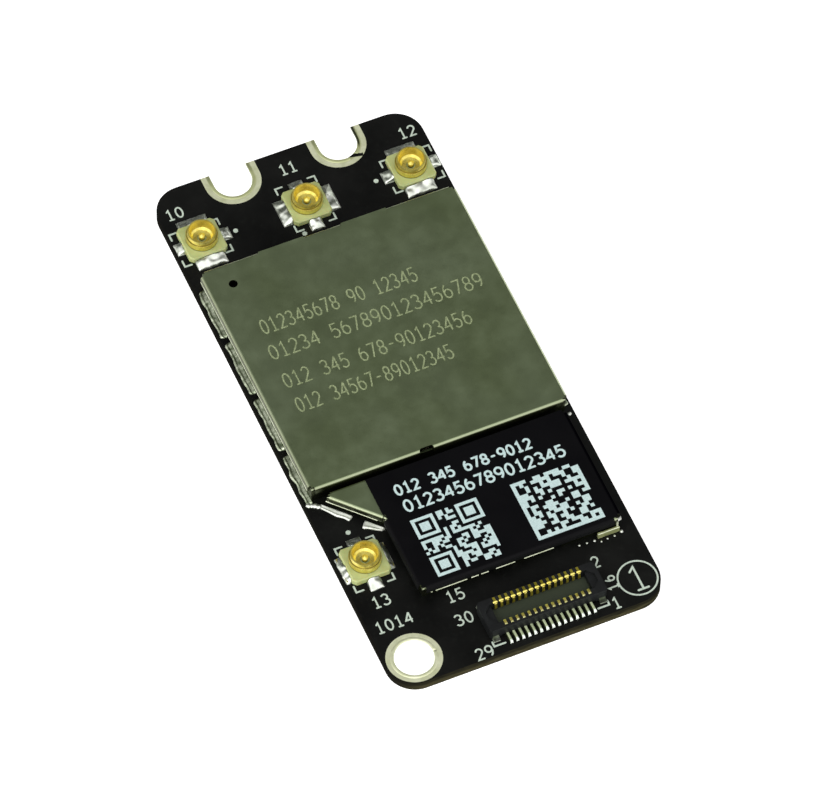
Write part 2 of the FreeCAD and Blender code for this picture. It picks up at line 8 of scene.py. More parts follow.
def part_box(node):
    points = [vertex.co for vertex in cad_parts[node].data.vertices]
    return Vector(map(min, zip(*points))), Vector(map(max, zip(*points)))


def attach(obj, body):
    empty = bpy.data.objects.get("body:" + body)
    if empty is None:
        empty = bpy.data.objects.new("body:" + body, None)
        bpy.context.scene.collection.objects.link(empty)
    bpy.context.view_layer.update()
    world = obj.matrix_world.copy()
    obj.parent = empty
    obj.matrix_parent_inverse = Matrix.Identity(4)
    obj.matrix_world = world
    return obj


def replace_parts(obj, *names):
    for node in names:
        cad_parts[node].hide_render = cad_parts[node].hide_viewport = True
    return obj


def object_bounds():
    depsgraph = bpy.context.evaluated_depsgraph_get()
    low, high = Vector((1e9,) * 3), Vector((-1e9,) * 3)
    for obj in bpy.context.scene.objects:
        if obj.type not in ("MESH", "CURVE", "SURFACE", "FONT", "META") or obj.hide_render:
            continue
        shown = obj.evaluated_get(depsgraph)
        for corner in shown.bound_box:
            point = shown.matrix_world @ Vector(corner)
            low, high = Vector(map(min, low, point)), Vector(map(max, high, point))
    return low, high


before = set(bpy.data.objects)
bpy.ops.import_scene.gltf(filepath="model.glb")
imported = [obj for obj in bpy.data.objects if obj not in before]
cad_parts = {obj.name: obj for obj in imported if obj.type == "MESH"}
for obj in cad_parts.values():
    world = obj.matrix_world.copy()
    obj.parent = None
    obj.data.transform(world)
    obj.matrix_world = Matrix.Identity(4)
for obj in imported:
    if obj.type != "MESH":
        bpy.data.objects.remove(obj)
cad_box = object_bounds()

MM = 0.001


def mm(*lengths):
    """Lengths in millimetres, turned into metres."""
    return tuple(length * MM for length in lengths)


def point(x, y):
    return Vector(mm(x, y))


def middle_of(low, high):
    return (low + high) / 2.0


def flat(spot):
    return Vector((spot.x, spot.y))


# Heights and places that the looks keep to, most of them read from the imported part
BOARD_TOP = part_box("board")[1].z
LABEL_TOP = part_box("label")[1].z
LID_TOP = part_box("main_shield_lid")[1].z
WELL_DEPTH = 0.65 * MM
WELL_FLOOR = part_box("connector_housing")[1].z - WELL_DEPTH
WELL_FADE = 0.1 * MM
HOUSING_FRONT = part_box("connector_housing")[0].y
TAIL_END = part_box("connector_lands")[0].y
NOSE_FADE = mm(-18.62, -18.52)

# The plating of the notches is duller along the inside, and darker on the right of the right notch.
NOTCH_DEEP = 0.9 * MM
notch_low, notch_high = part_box("right_notch_plating")
NOTCH_CENTRE = Vector(((notch_low.x + notch_high.x) / 2.0, notch_high.y - NOTCH_DEEP))
INNER_BAND = mm(1.46, 1.55)
DARK_BAND = mm(1.38, 1.46)
DARK_SIDE = mm(4.74, 4.88)


# Shader nodes: samples for crevices, where most of a grain lies, and the tilts from upright to flat faces
AO_SAMPLES = 32
MIDDLE = (0.3, 0.7)
UPRIGHT = (0.25, 0.6)


def node(mat, kind, inputs=None, **settings):
    made = mat.node_tree.nodes.new(kind)
    for key, value in settings.items():
        setattr(made, key, value)
    for key, value in (inputs or {}).items():
        if isinstance(value, bpy.types.NodeSocket):
            mat.node_tree.links.new(value, made.inputs[key])
        else:
            made.inputs[key].default_value = value
    return made


def drive(mat, socket, value):
    shader = mat.node_tree.nodes["Principled BSDF"]
    mat.node_tree.links.new(value, shader.inputs[socket])


def place(mat):
    return node(mat, "ShaderNodeTexCoord").outputs["Object"]


def grain(mat, size, detail, rough=0.55, warp=0.0, at=None):
    """Noise with a size in mm."""
    inputs = {"Vector": at or place(mat), "Scale": 1.0 / (size * MM), "Detail": detail, "Roughness": rough,
              "Distortion": warp}
    return node(mat, "ShaderNodeTexNoise", inputs).outputs["Fac"]


def begin(name, sockets, *grains):
    """A new material, and its grains by their size, detail, roughness and warp."""
    mat = bpy.data.materials.new(name)
    mat.use_nodes = True
    shader = mat.node_tree.nodes["Principled BSDF"]
    for key, value in sockets.items():
        shader.inputs[key].default_value = value
    return mat, *(grain(mat, *numbers) for numbers in grains)


def math_node(mat, operation, first, second=0.0):
    return node(mat, "ShaderNodeMath", {0: first, 1: second}, operation=operation).outputs["Value"]


def ranged(mat, value, low, high, to_low=0.0, to_high=1.0):
    inputs = {"Value": value, "From Min": low, "From Max": high, "To Min": to_low, "To Max": to_high}
    return node(mat, "ShaderNodeMapRange", inputs).outputs["Result"]


def mixed(mat, share, first, second):
    made = node(mat, "ShaderNodeMix", {0: share}, data_type="RGBA")
    for index, colour in ((6, first), (7, second)):
        if isinstance(colour, bpy.types.NodeSocket):
            mat.node_tree.links.new(colour, made.inputs[index])
        else:
            made.inputs[index].default_value = (*colour, 1.0)
    return made.outputs[2]


def blend(mat, value, span, first, second, shares=(0.0, 1.0)):
    """Goes from one colour to another while a value passes through a span."""
    return mixed(mat, ranged(mat, value, *span, *shares), first, second)


def finished(mat, colour, value, roughness, height=None, depth=0.0, strength=0.0):
    """Sets a finish's colour, its roughness by a grain, and its relief in mm."""
    drive(mat, "Base Color", colour)
    drive(mat, "Roughness", ranged(mat, value, *MIDDLE, *roughness))
    if height:
        inputs = {"Height": height, "Distance": depth * MM, "Strength": strength}
        drive(mat, "Normal", node(mat, "ShaderNodeBump", inputs).outputs["Normal"])
    return mat


def coordinate(mat, axis):
    return node(mat, "ShaderNodeSeparateXYZ", {0: place(mat)}).outputs[axis]


def facing(mat, axis):
    normal = node(mat, "ShaderNodeNewGeometry").outputs["Normal"]
    return node(mat, "ShaderNodeSeparateXYZ", {0: normal}).outputs[axis]


def squarely(mat, axis):
    """1 on faces that look along an axis, either way, and 0 on those that lie along it."""
    return math_node(mat, "ABSOLUTE", facing(mat, axis))


def upright_share(mat):
    """1 on faces that stand upright, 0 on faces that lie flat."""
    return ranged(mat, squarely(mat, "Z"), *UPRIGHT, 1.0, 0.0)


def open_share(mat, distance):
    """1 on open faces, and less in crevices, for painting shade into them."""
    return node(mat, "ShaderNodeAmbientOcclusion", {"Distance": distance}, samples=AO_SAMPLES).outputs["AO"]


# Finishes

def mask_finish():
    mat, weave, patch = begin("solder_mask_finish", {"IOR": 1.5}, (0.35, 2.0), (3.0, 4.0))
    face = blend(mat, patch, (0.35, 0.7), (0.0022, 0.0023, 0.0021), (0.0048, 0.0050, 0.0044))
    face = blend(mat, weave, (0.55, 0.8), face, (0.0085, 0.0092, 0.0080), (0.0, 0.5))
    squashed = node(mat, "ShaderNodeMapping", {"Vector": place(mat), "Scale": (0.12, 0.12, 1.0)})
    layers = grain(mat, 0.12, 3.0, at=squashed.outputs["Vector"])
    edge = blend(mat, layers, (0.35, 0.65), (0.020, 0.018, 0.009), (0.060, 0.054, 0.028))
    edge = mixed(mat, squarely(mat, "X"), edge, (0.009, 0.009, 0.007))
    edge = blend(mat, coordinate(mat, "Z"), mm(0.30, 0.55), edge, (0.006, 0.006, 0.005), (0.0, 0.75))
    drive(mat, "Specular IOR Level", ranged(mat, upright_share(mat), 0.0, 1.0, 0.16, 0.0))
    return finished(mat, mixed(mat, upright_share(mat), face, edge), patch, (0.3, 0.48), weave, 0.006, 0.5)


def plating_finish():
    mat, patch, fine = begin(
        "plating_finish", {"Metallic": 0.55, "Specular IOR Level": 0.5},
        (0.8, 5.0, 0.6), (0.12, 3.0))
    colour = blend(mat, patch, (0.3, 0.72), (0.62, 0.65, 0.40), (0.85, 0.87, 0.64))
    colour = blend(mat, fine, (0.62, 0.8), colour, (0.45, 0.47, 0.31), (0.0, 0.4))
    from_middle = math_node(mat, "ABSOLUTE", coordinate(mat, "X"))
    sideways = math_node(mat, "SUBTRACT", from_middle, NOTCH_CENTRE.x)
    inward = math_node(mat, "SUBTRACT", coordinate(mat, "Y"), NOTCH_CENTRE.y)
    inward = math_node(mat, "MINIMUM", inward, 0.0)
    squares = [math_node(mat, "MULTIPLY", side, side) for side in (sideways, inward)]
    reach = math_node(mat, "SQRT", math_node(mat, "ADD", *squares))
    colour = blend(mat, reach, INNER_BAND, colour, (0.44, 0.47, 0.225), (0.85, 0.0))
    # A darker patch on the right of the right notch.
    dark_patch = math_node(mat, "MULTIPLY", ranged(mat, coordinate(mat, "X"), *DARK_SIDE),
                     ranged(mat, reach, *DARK_BAND, 1.0, 0.0))
    colour = mixed(mat, dark_patch, colour, (0.030, 0.036, 0.010))
    # Painted light: upright faces, such as the linings of the hole and the notches, are painted pale to lift
    # their shade.
    colour = mixed(mat, upright_share(mat), colour, (0.90, 0.92, 0.86))
    return finished(mat, colour, fine, (0.32, 0.55), patch, 0.03, 0.5)


def reflowed(name, metal, colour_of, patch_size=0.6, ripple=0.02):
    """Reflowed metal with soft ripples, coloured from its patches and its fine grain."""
    mat, patch, fine = begin(name, {"Metallic": metal}, (patch_size, 3.0, 0.5), (0.1, 3.0))
    return finished(mat, colour_of(mat, patch, fine), fine, (0.28, 0.42), patch, ripple, 0.35)


def solder_finish(name, dark, light, metal, *sizes):
    return reflowed(name, metal, lambda mat, patch, fine: blend(mat, patch, MIDDLE, dark, light), *sizes)


BRIGHT_SOLDER = ((0.62, 0.66, 0.57), (0.93, 0.95, 0.90))


def land_colour(mat, patch, fine):
    """Solder on the jacks' lands: bright where it faces the front, and darkened with painted shade where it
    doesn't.
    """
    bright = blend(mat, patch, MIDDLE, *BRIGHT_SOLDER)
    dull = blend(mat, fine, (0.35, 0.65), (0.20, 0.22, 0.18), (0.44, 0.47, 0.40))
    # Painted shade on the faces that don't look towards the front.
    return blend(mat, facing(mat, "Y"), (-0.22, 0.04), bright, dull)


def tail_colour(mat, patch, fine):
    """Tinned tails: a dull stem that ends in a bright drop, with painted shade on their flanks."""
    stem = blend(mat, patch, MIDDLE, (0.45, 0.53, 0.31), (0.62, 0.70, 0.45))
    drop = blend(mat, patch, MIDDLE, (0.84, 0.93, 0.82), (0.95, 1.0, 0.94))
    inward = ranged(mat, coordinate(mat, "Y"), TAIL_END, HOUSING_FRONT)
    colour = blend(mat, inward, (0.20, 0.30), drop, stem)
    # Painted shade on the flanks that face the neighbouring tails.
    return blend(mat, squarely(mat, "X"), (0.58, 0.92), colour, (0.05, 0.062, 0.026))


def sheet_finish():
    mat, broad, cloud, fine = begin(
        "shield_sheet_finish", {"Metallic": 1.0},
        (9.0, 2.0, 0.5, 0.6), (1.6, 5.0, 0.62), (0.09, 2.0))
    spots = {"Vector": place(mat), "Scale": 1.0 / (0.55 * MM)}
    speck = node(mat, "ShaderNodeTexVoronoi", spots).outputs["Distance"]
    top = blend(mat, broad, (0.35, 0.65), (0.285, 0.355, 0.185), (0.325, 0.398, 0.232))
    top = blend(mat, cloud, (0.45, 0.75), top, (0.375, 0.45, 0.29), (0.0, 0.3))
    top = blend(mat, speck, (0.03, 0.09), top, (0.17, 0.18, 0.09), (0.35, 0.0))
    # Painted light by tilt: upright skirts get a painted shade, tilted folds a painted highlight, and level
    # tops the sheet's own colour.
    side = mixed(mat, cloud, (0.055, 0.064, 0.032), (0.11, 0.122, 0.066))
    fold_highlight = mixed(mat, cloud, (0.30, 0.34, 0.21), (0.42, 0.46, 0.31))
    level = squarely(mat, "Z")
    colour = blend(mat, level, (0.45, 0.65), side, fold_highlight)
    colour = blend(mat, level, (0.9, 0.98), colour, top)
    return finished(mat, colour, cloud, (0.28, 0.38), fine, 0.004, 0.35)


def label_finish():
    mat, fine, patch = begin("label_film_finish", {}, (0.06, 2.0), (2.5, 3.0))
    colour = blend(mat, fine, (0.45, 0.75), (0.0007, 0.0006, 0.0012), (0.0016, 0.0015, 0.0024))
    colour = mixed(mat, upright_share(mat), colour, (0.0060, 0.0062, 0.0064))
    drive(mat, "Specular IOR Level", ranged(mat, facing(mat, "X"), 0.05, 0.3, 0.1, 0.0))
    return finished(mat, colour, patch, (0.42, 0.6), fine, 0.004, 0.4)


def ink_finish(name, dark, light, rough):
    mat, fine = begin(name, {"Specular IOR Level": 0.3}, (0.07, 3.0, 0.6))
    colour = blend(mat, fine, (0.3, 0.66), dark, light)
    return finished(mat, colour, fine, (rough - 0.1, rough + 0.15), fine, 0.006, 0.5)


def etch_finish():
    mat, fine = begin("etched_mark_finish", {"Metallic": 0.75}, (0.12, 4.0, 0.65))
    colour = blend(mat, fine, (0.35, 0.62), (0.31, 0.37, 0.19), (0.50, 0.57, 0.33))
    return finished(mat, colour, fine, (0.42, 0.62))


def housing_finish():
    mat, fine, patch = begin("housing_plastic_finish", {"Specular IOR Level": 0.22}, (0.05, 3.0), (0.9, 3.0))
    colour = blend(mat, patch, MIDDLE, (0.0045, 0.005, 0.0052), (0.009, 0.010, 0.0105))
    well = ranged(mat, coordinate(mat, "Z"), WELL_FLOOR, WELL_FLOOR + WELL_FADE, 1.0, 0.0)
    colour = mixed(mat, math_node(mat, "MULTIPLY", well, facing(mat, "Z")), colour, (0.034, 0.042, 0.027))
    return finished(mat, colour, fine, (0.4, 0.58), fine, 0.004, 0.5)


def gold_finish():
    mat, patch, fine = begin("gold_finish", {"Metallic": 0.8}, (0.45, 4.0, 0.6), (0.06, 2.0))
    colour = blend(mat, patch, (0.35, 0.7), (0.64, 0.52, 0.09), (0.86, 0.75, 0.21))
    # Painted shade: darker gold in hollows, and near black in crevices, where nearby faces hide the light.
    colour = blend(mat, open_share(mat, 0.4 * MM), (0.0, 0.6), (0.24, 0.165, 0.02), colour)
    colour = blend(mat, open_share(mat, 0.16 * MM), (0.52, 0.92), (0.05, 0.03, 0.002), colour)
    return finished(mat, colour, fine, (0.26, 0.36), fine, 0.003, 0.12)


def front_nose_finish():
    """Shaded gold, paler at its front end."""
    mat, patch, fine = begin("front_nose_finish", {"Metallic": 0.6}, (0.3, 3.0), (0.06, 2.0))
    rear = blend(mat, patch, MIDDLE, (0.13, 0.12, 0.012), (0.27, 0.25, 0.04))
    front = blend(mat, patch, MIDDLE, (0.34, 0.33, 0.11), (0.55, 0.53, 0.26))
    return finished(mat, blend(mat, coordinate(mat, "Y"), NOSE_FADE, front, rear), fine, (0.34, 0.5))


def resin_finish():
    mat, patch, fine = begin(
        "jack_resin_finish", {"Specular IOR Level": 0.5, "Subsurface Weight": 0.12,
                              "Subsurface Scale": 0.2 * MM}, (0.7, 4.0), (0.06, 2.0))
    colour = blend(mat, patch, MIDDLE, (0.38, 0.42, 0.155), (0.46, 0.50, 0.225))
    return finished(mat, colour, fine, (0.38, 0.55), fine, 0.004, 0.4)


def plain_finish(name, dark, light, rough, metal=0.0):
    """Finish of the parts under the shields and of the small gold pieces."""
    mat, fine, patch = begin(name, {"Metallic": metal}, (0.08, 3.0), (0.9, 3.0))
    colour = blend(mat, patch, MIDDLE, dark, light)
    return finished(mat, colour, fine, (rough - 0.08, rough + 0.12), fine, 0.005, 0.5)


FINISHES = {
    "solder_mask": mask_finish(),
    "plating": plating_finish(),
    "solder": solder_finish("solder_finish", *BRIGHT_SOLDER, 0.95),
    "shield_sheet": sheet_finish(),
    "label_film": label_finish(),
    "housing_plastic": housing_finish(),
    "gold": gold_finish(),
    "jack_resin": resin_finish(),
    "chip_resin": plain_finish("chip_resin_finish", (0.012, 0.012, 0.013), (0.024, 0.024, 0.025), 0.55),
    "ceramic_body": plain_finish("ceramic_body_finish", (0.30, 0.24, 0.17), (0.42, 0.34, 0.24), 0.5),
    "ferrite": plain_finish("ferrite_finish", (0.035, 0.035, 0.037), (0.065, 0.064, 0.064), 0.6),
    "can_metal": plain_finish("can_metal_finish", (0.55, 0.55, 0.53), (0.72, 0.72, 0.69), 0.32, 1.0),
}
SILK = ink_finish("silkscreen_finish", (0.36, 0.43, 0.36), (0.58, 0.66, 0.57), 0.55)
LABEL_INK = ink_finish("label_ink_finish", (0.40, 0.53, 0.53), (0.58, 0.72, 0.71), 0.5)
ETCH = etch_finish()
LAND_SOLDER = reflowed("land_solder_finish", 0.95, land_colour)
TINNED = reflowed("tinned_finish", 0.25, tail_colour, 0.3)
FRONT_NOSE = front_nose_finish()
# Pale bare metal of sheared edges, painted as a highlight along them.
SHEARED_HIGHLIGHT = solder_finish("sheared_highlight_finish", (0.42, 0.46, 0.30), (0.72, 0.76, 0.58), 0.35)
WHITE_SOLDER = solder_finish("white_solder_finish", (0.66, 0.70, 0.60), (0.95, 0.96, 0.92), 0.55)
# Shaded and lit copies of gold: painted shade on the springs and straps, and a painted highlight on the rear
# noses.
SHADED_GOLD = plain_finish("shaded_gold_finish", (0.27, 0.23, 0.015), (0.42, 0.36, 0.045), 0.35, 0.75)
LIT_GOLD = plain_finish("lit_gold_finish", (0.80, 0.66, 0.12), (0.93, 0.82, 0.25), 0.3, 0.85)
TAB_FINISH = solder_finish("tab_finish", (0.20, 0.225, 0.085), (0.40, 0.43, 0.20), 0.3)
RUN_SOLDER = solder_finish("run_solder_finish", (0.14, 0.18, 0.10), (0.66, 0.71, 0.55), 1.0, 0.28, 0.06)
# A darker tin: painted shade on the connector's lands between the tails, and dull tin on the nails and their
# solder.
SHADED_DULL_TIN = solder_finish("shaded_dull_tin_finish", (0.16, 0.18, 0.13), (0.42, 0.45, 0.38), 1.0)


def dress(solid, mat):
    for material_slot in solid.material_slots:
        material_slot.material = mat


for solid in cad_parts.values():
    dress(solid, FINISHES[solid.data.materials[0].name.split(".")[0]])
# The connector's lands take the darker tin as painted shade; the nails take it too.
for dull in ("connector_nails", "connector_lands"):
    dress(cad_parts[dull], SHADED_DULL_TIN)


# Meshes

def add_piece(name, verts, faces, mat, smooth=False):
    mesh = bpy.data.meshes.new(name)
    mesh.from_pydata(verts, [], faces)
    mesh.validate()
    shape = bmesh.new()
    shape.from_mesh(mesh)
    bmesh.ops.recalc_face_normals(shape, faces=shape.faces)
    shape.to_mesh(mesh)
    shape.free()
    mesh.materials.append(mat)
    for polygon in mesh.polygons:
        polygon.use_smooth = smooth
    piece = bpy.data.objects.new(name, mesh)
    bpy.context.scene.collection.objects.link(piece)
    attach(piece, "root")
    return piece


# Print: how far it rises and sinks, its strokes, and the steps of its curves and rounded ends
INK_RISE, INK_SINK, LABEL_INK_RISE = mm(0.012, 0.006, 0.008)
ETCH_RISE, ETCH_SINK = mm(0.002, 0.001)
SILK_STROKE, LABEL_STROKE, ETCH_STROKE, BRACKET_STROKE = mm(0.11, 0.15, 0.10, 0.12)
STROKE_LIFT = 0.0015 * MM
DOT_RADIUS = 0.16 * MM
ARC_STEPS = 14
CAP_STEPS = 3
LONGEST_CAP = 0.45
BLUNT = 0.35
SHARPEST_MITRE = 0.45


class Print:
    """Flat marks that are gathered into one thin piece."""

    def __init__(self, low, high):
        self.low = low
        self.high = high
        self.verts = []
        self.faces = []

    def strip(self, left, right, closed=False, lift=0.0):
        """A band between two lines of points, as a closed slab."""
        count = len(left)
        start = len(self.verts)
        for z in (self.low, self.high + lift):
            for side in (left, right):
                self.verts.extend((x, y, z) for x, y in side)
        left_low, right_low, left_top, right_top = (start + count * row for row in range(4))
        for i in range(count if closed else count - 1):
            j = (i + 1) % count
            self.faces += [(left_top + i, right_top + i, right_top + j, left_top + j),
                           (left_low + j, right_low + j, right_low + i, left_low + i),
                           (left_low + i, left_top + i, left_top + j, left_low + j),
                           (right_top + i, right_low + i, right_low + j, right_top + j)]
        if not closed:
            last = count - 1
            self.faces += [(left_low, right_low, right_top, left_top),
                           (left_top + last, right_top + last, right_low + last, left_low + last)]

    def stroke(self, points, width, closed=False, lift=0.0):
        """A pen stroke of even width along the points, with rounded ends where it doesn't close."""
        points = [Vector(spot) for spot in points]
        if not closed:
            points = rounded_ends(points, width)
        left, right = [], []
        count = len(points)
        for i, spot in enumerate(points):
            before = points[i - 1] if closed or i else None
            after = points[(i + 1) % count] if closed or i < count - 1 else None
            side = mitre(before, spot, after)
            reach = width / 2.0 * (1.0 if closed else end_share(i, count))
            left.append((spot + side * reach)[:])
            right.append((spot - side * reach)[:])
        self.strip(left, right, closed, lift)

    def box(self, low, high):
        self.strip([(low[0], low[1]), (low[0], high[1])], [(high[0], low[1]), (high[0], high[1])])

    def ring(self, centre, radius, width):
        angles = [math.tau * step / (4 * ARC_STEPS) for step in range(4 * ARC_STEPS)]
        spots = [(centre[0] + radius * math.cos(a), centre[1] + radius * math.sin(a)) for a in angles]
        self.stroke(spots, width, True)

    def dot(self, centre, radius):
        angles = [math.pi * step / ARC_STEPS for step in range(1, ARC_STEPS)]
        self.strip(*([(centre[0] - radius * math.cos(a), centre[1] + half * math.sin(a)) for a in angles]
                     for half in (radius, -radius)))

    def finish(self, name, mat, slot_name):
        return add_piece(name, self.verts, self.faces, mat)


def rounded_ends(points, width):
    """Adds points close to both ends, where the stroke narrows to a round tip."""
    for _ in range(2):
        points = points[::-1]
        run = points[1] - points[0]
        tip = min(width / 2.0, LONGEST_CAP * run.length)
        extra = [points[0] + run * (tip * step / CAP_STEPS / run.length) for step in range(1, CAP_STEPS + 1)]
        points = [points[0]] + extra + points[1:]
    return points


def end_share(i, count):
    """How much of the full width a stroke has at one of its points."""
    near = min(i, count - 1 - i)
    if near > CAP_STEPS:
        return 1.0
    return math.sqrt(1.0 - (1.0 - (near + BLUNT) / (CAP_STEPS + BLUNT)) ** 2)


def mitre(before, spot, after):
    """The sideways direction at a point of a line, lengthened on the outside of a corner."""
    runs = [(end - start).normalized() for start, end in ((before, spot), (spot, after))
            if start is not None and end is not None]
    tangent = sum(runs, Vector((0.0, 0.0))).normalized()
    side = Vector((-tangent.y, tangent.x))
    if len(runs) == 2:
        square = Vector((-runs[0].y, runs[0].x))
        side = side / max(SHARPEST_MITRE, side.dot(square))
    return side


def arc(cx, cy, rx, ry, start, end):
    """Points along a part of an ellipse, from one angle to another in degrees."""
    steps = max(3, round(abs(end - start) / 360.0 * 2 * ARC_STEPS))
    angles = [math.radians(start + (end - start) * step / steps) for step in range(steps + 1)]
    return [(cx + rx * math.cos(a), cy + ry * math.sin(a)) for a in angles]


def loop(cx, cy, rx, ry):
    return arc(cx, cy, rx, ry, 0, 360)[:-1]


# Plain numerals drawn with pen strokes in a cell 0.6 wide and 1 high: the points of each stroke, and
# whether it closes
NUMERALS = {
    "0": [(loop(0.30, 0.50, 0.27, 0.50), True)],
    "1": [([(0.10, 0.80), (0.32, 1.0), (0.32, 0.0)], False), ([(0.08, 0.0), (0.56, 0.0)], False)],
    "2": [(arc(0.30, 0.72, 0.26, 0.28, 165, -35) + [(0.03, 0.0), (0.58, 0.0)], False)],
    "3": [(arc(0.27, 0.76, 0.25, 0.24, 155, -90), False), (arc(0.27, 0.27, 0.30, 0.27, 90, -155), False)],
    "4": [([(0.46, 0.0), (0.46, 1.0)], False), ([(0.46, 1.0), (0.02, 0.30), (0.60, 0.30)], False)],
    "5": [([(0.54, 1.0), (0.12, 1.0), (0.07, 0.54)] + arc(0.28, 0.31, 0.29, 0.31, 125, -150), False)],
    "6": [(arc(0.42, 0.42, 0.38, 0.58, 110, 180), False), (loop(0.31, 0.30, 0.27, 0.30), True)],
    "7": [([(0.03, 1.0), (0.57, 1.0), (0.20, 0.0)], False)],
    "8": [(loop(0.30, 0.75, 0.23, 0.25), True), (loop(0.30, 0.26, 0.28, 0.26), True)],
    "9": [(arc(0.18, 0.58, 0.38, 0.58, -70, 0), False), (loop(0.29, 0.70, 0.27, 0.30), True)],
}
CELL_WIDTH = 0.6
CELL_FILL = 0.74
WIDEST_STRETCH = 1.15
DASH_HALF = 0.25


def write(sheet, text, centre, height, stroke, gap=0.24, stretch=1.0, turn=0.0):
    """Plain numerals, centred on a point and turned by an angle in degrees."""
    spin = Matrix.Rotation(math.radians(turn), 2)
    cell = CELL_WIDTH * stretch
    width = len(text) * cell + (len(text) - 1) * gap
    for i, numeral in enumerate(text):
        for order, (line, closed) in enumerate(NUMERALS[numeral]):
            spots = [Vector((x * stretch + i * (cell + gap) - width / 2.0, y - 0.5)) for x, y in line]
            spots = [Vector(centre) + spin @ (spot * height) for spot in spots]
            sheet.stroke(spots, stroke, closed, order * STROKE_LIFT)


def fitted_row(sheet, text, x0, x1, y, height, stroke):
    """Numerals spread evenly between two ends of a row."""
    pitch = (x1 - x0) / len(text)
    for i, sign in enumerate(text):
        middle = point(x0 + pitch * (i + 0.5), y)
        if sign == "-":
            half = point(pitch * DASH_HALF, 0.0)
            sheet.stroke([middle - half, middle + half], stroke)
        elif sign != " ":
            stretch = pitch / height * CELL_FILL / CELL_WIDTH
            write(sheet, sign, middle, height * MM, stroke, stretch=min(WIDEST_STRETCH, stretch))


# Silkscreen: corner marks and dots at the jacks, numerals, a ringed numeral, and corners at the connector
BRACKETS = (((-8.98, 14.1), (-5.70, 16.74)), ((-1.43, 13.8), (1.27, 17.38)), ((5.54, 14.1), (8.92, 16.74)),
            ((-8.67, -12.47), (-6.10, -9.04)))
BRACKET_ARM = 0.52
DOTS = ((-4.97, 15.42), (-1.03, 13.50), (4.74, 15.47), (-7.41, -8.24))
NUMERAL_HEIGHT = 0.76 * MM
BOARD_NUMERALS = (
    ("10", -8.03, 18.13), ("11", -0.05, 18.58), ("12", 8.08, 18.22), ("13", -7.53, -13.62),
    ("1014", -7.43, -15.39), ("15", -3.18, -15.02), ("30", -3.36, -16.78), ("29", -3.19, -19.53),
    ("1", 5.71, -19.42), ("2", 5.74, -16.2))
TURNED_PLACE, TURNED_GAP = (6.03, -17.98), 0.45
TURNED_HEIGHT = 0.62 * MM
RINGED_PLACE = (7.66, -18.27)
RINGED_HEIGHT, RINGED_STROKE, RING_RADIUS = mm(1.7, 0.14, 1.24)
CONNECTOR_CORNERS = (((-2.46, -18.98), (-2.46, -19.37), (-1.67, -19.37)),
                     ((4.45, -19.36), (5.26, -19.36), (5.26, -19.0)))

silk = Print(BOARD_TOP - INK_SINK, BOARD_TOP + INK_RISE)
for (x0, y0), (x1, y1) in BRACKETS:
    for x, y, dx, dy in ((x0, y0, 1, 1), (x1, y0, -1, 1), (x1, y1, -1, -1), (x0, y1, 1, -1)):
        arms = [point(x + dx * BRACKET_ARM, y), point(x, y), point(x, y + dy * BRACKET_ARM)]
        silk.stroke(arms, BRACKET_STROKE)
for x, y in DOTS:
    silk.dot(point(x, y), DOT_RADIUS)
for text, x, y in BOARD_NUMERALS:
    write(silk, text, point(x, y), NUMERAL_HEIGHT, SILK_STROKE)
write(silk, "16", point(*TURNED_PLACE), TURNED_HEIGHT, SILK_STROKE, gap=TURNED_GAP, turn=90.0)
silk.ring(point(*RINGED_PLACE), RING_RADIUS, SILK_STROKE)
write(silk, "1", point(*RINGED_PLACE), RINGED_HEIGHT, RINGED_STROKE)
for line in CONNECTOR_CORNERS:
    silk.stroke([point(*spot) for spot in line], BRACKET_STROKE)
silk.finish("silkscreen", SILK, "label_film")


# Print on the label: two rows of numerals, and two squares of small fields
LABEL_ROWS = (("012 345 678-9012", -3.9, 5.4, -7.24, 0.72), ("0123456789012345", -3.85, 7.1, -8.53, 0.82))
FIELD_SQUARES = (((-3.88, -14.05), (0.58, -9.6), 21, 5, True), ((2.87, -14.05), (7.36, -9.6), 18, 11, False))
FRAME_CELLS = 7
FRAME_HALF = 3
FIELD_FACTORS = (37, 101, 13)
FIELD_CYCLE = 29
FIELD_FILL = 16


def field_filled(column, row, count, seed, framed):
    """Whether a field is filled: by its frame, by its edge, or by a simple formula."""
    far = count - FRAME_CELLS
    for cx, cy in ((0, 0), (0, far), (far, far)) if framed else ():
        if -1 <= column - cx <= FRAME_CELLS and -1 <= row - cy <= FRAME_CELLS:
            reach = max(abs(column - cx - FRAME_HALF), abs(row - cy - FRAME_HALF))
            return reach == FRAME_HALF or reach <= 1
    if not framed and (column == 0 or row == 0):
        return True
    by_column, by_row, by_square = FIELD_FACTORS
    total = column * by_column + row * by_row + column * row * seed + (column + seed) ** 2 * by_square
    return total % FIELD_CYCLE < FIELD_FILL


def field_square(sheet, low, high, count, seed, framed):
    """A square of small fields, with plain frames in three of its corners or along two of its sides."""
    step = ((high[0] - low[0]) / count, (high[1] - low[1]) / count)
    for row in range(count):
        start = None
        for column in range(count + 1):
            filled = column < count and field_filled(column, row, count, seed, framed)
            if filled and start is None:
                start = column
            if not filled and start is not None:
                left = low[0] + start * step[0]
                right = low[0] + column * step[0]
                sheet.box(point(left, low[1] + row * step[1]), point(right, low[1] + (row + 1) * step[1]))
                start = None


label_print = Print(LABEL_TOP - INK_SINK, LABEL_TOP + LABEL_INK_RISE)
for row in LABEL_ROWS:
    fitted_row(label_print, *row, LABEL_STROKE)
for square in FIELD_SQUARES:
    field_square(label_print, *square)
label_print.finish("label_print", LABEL_INK, "label_film")


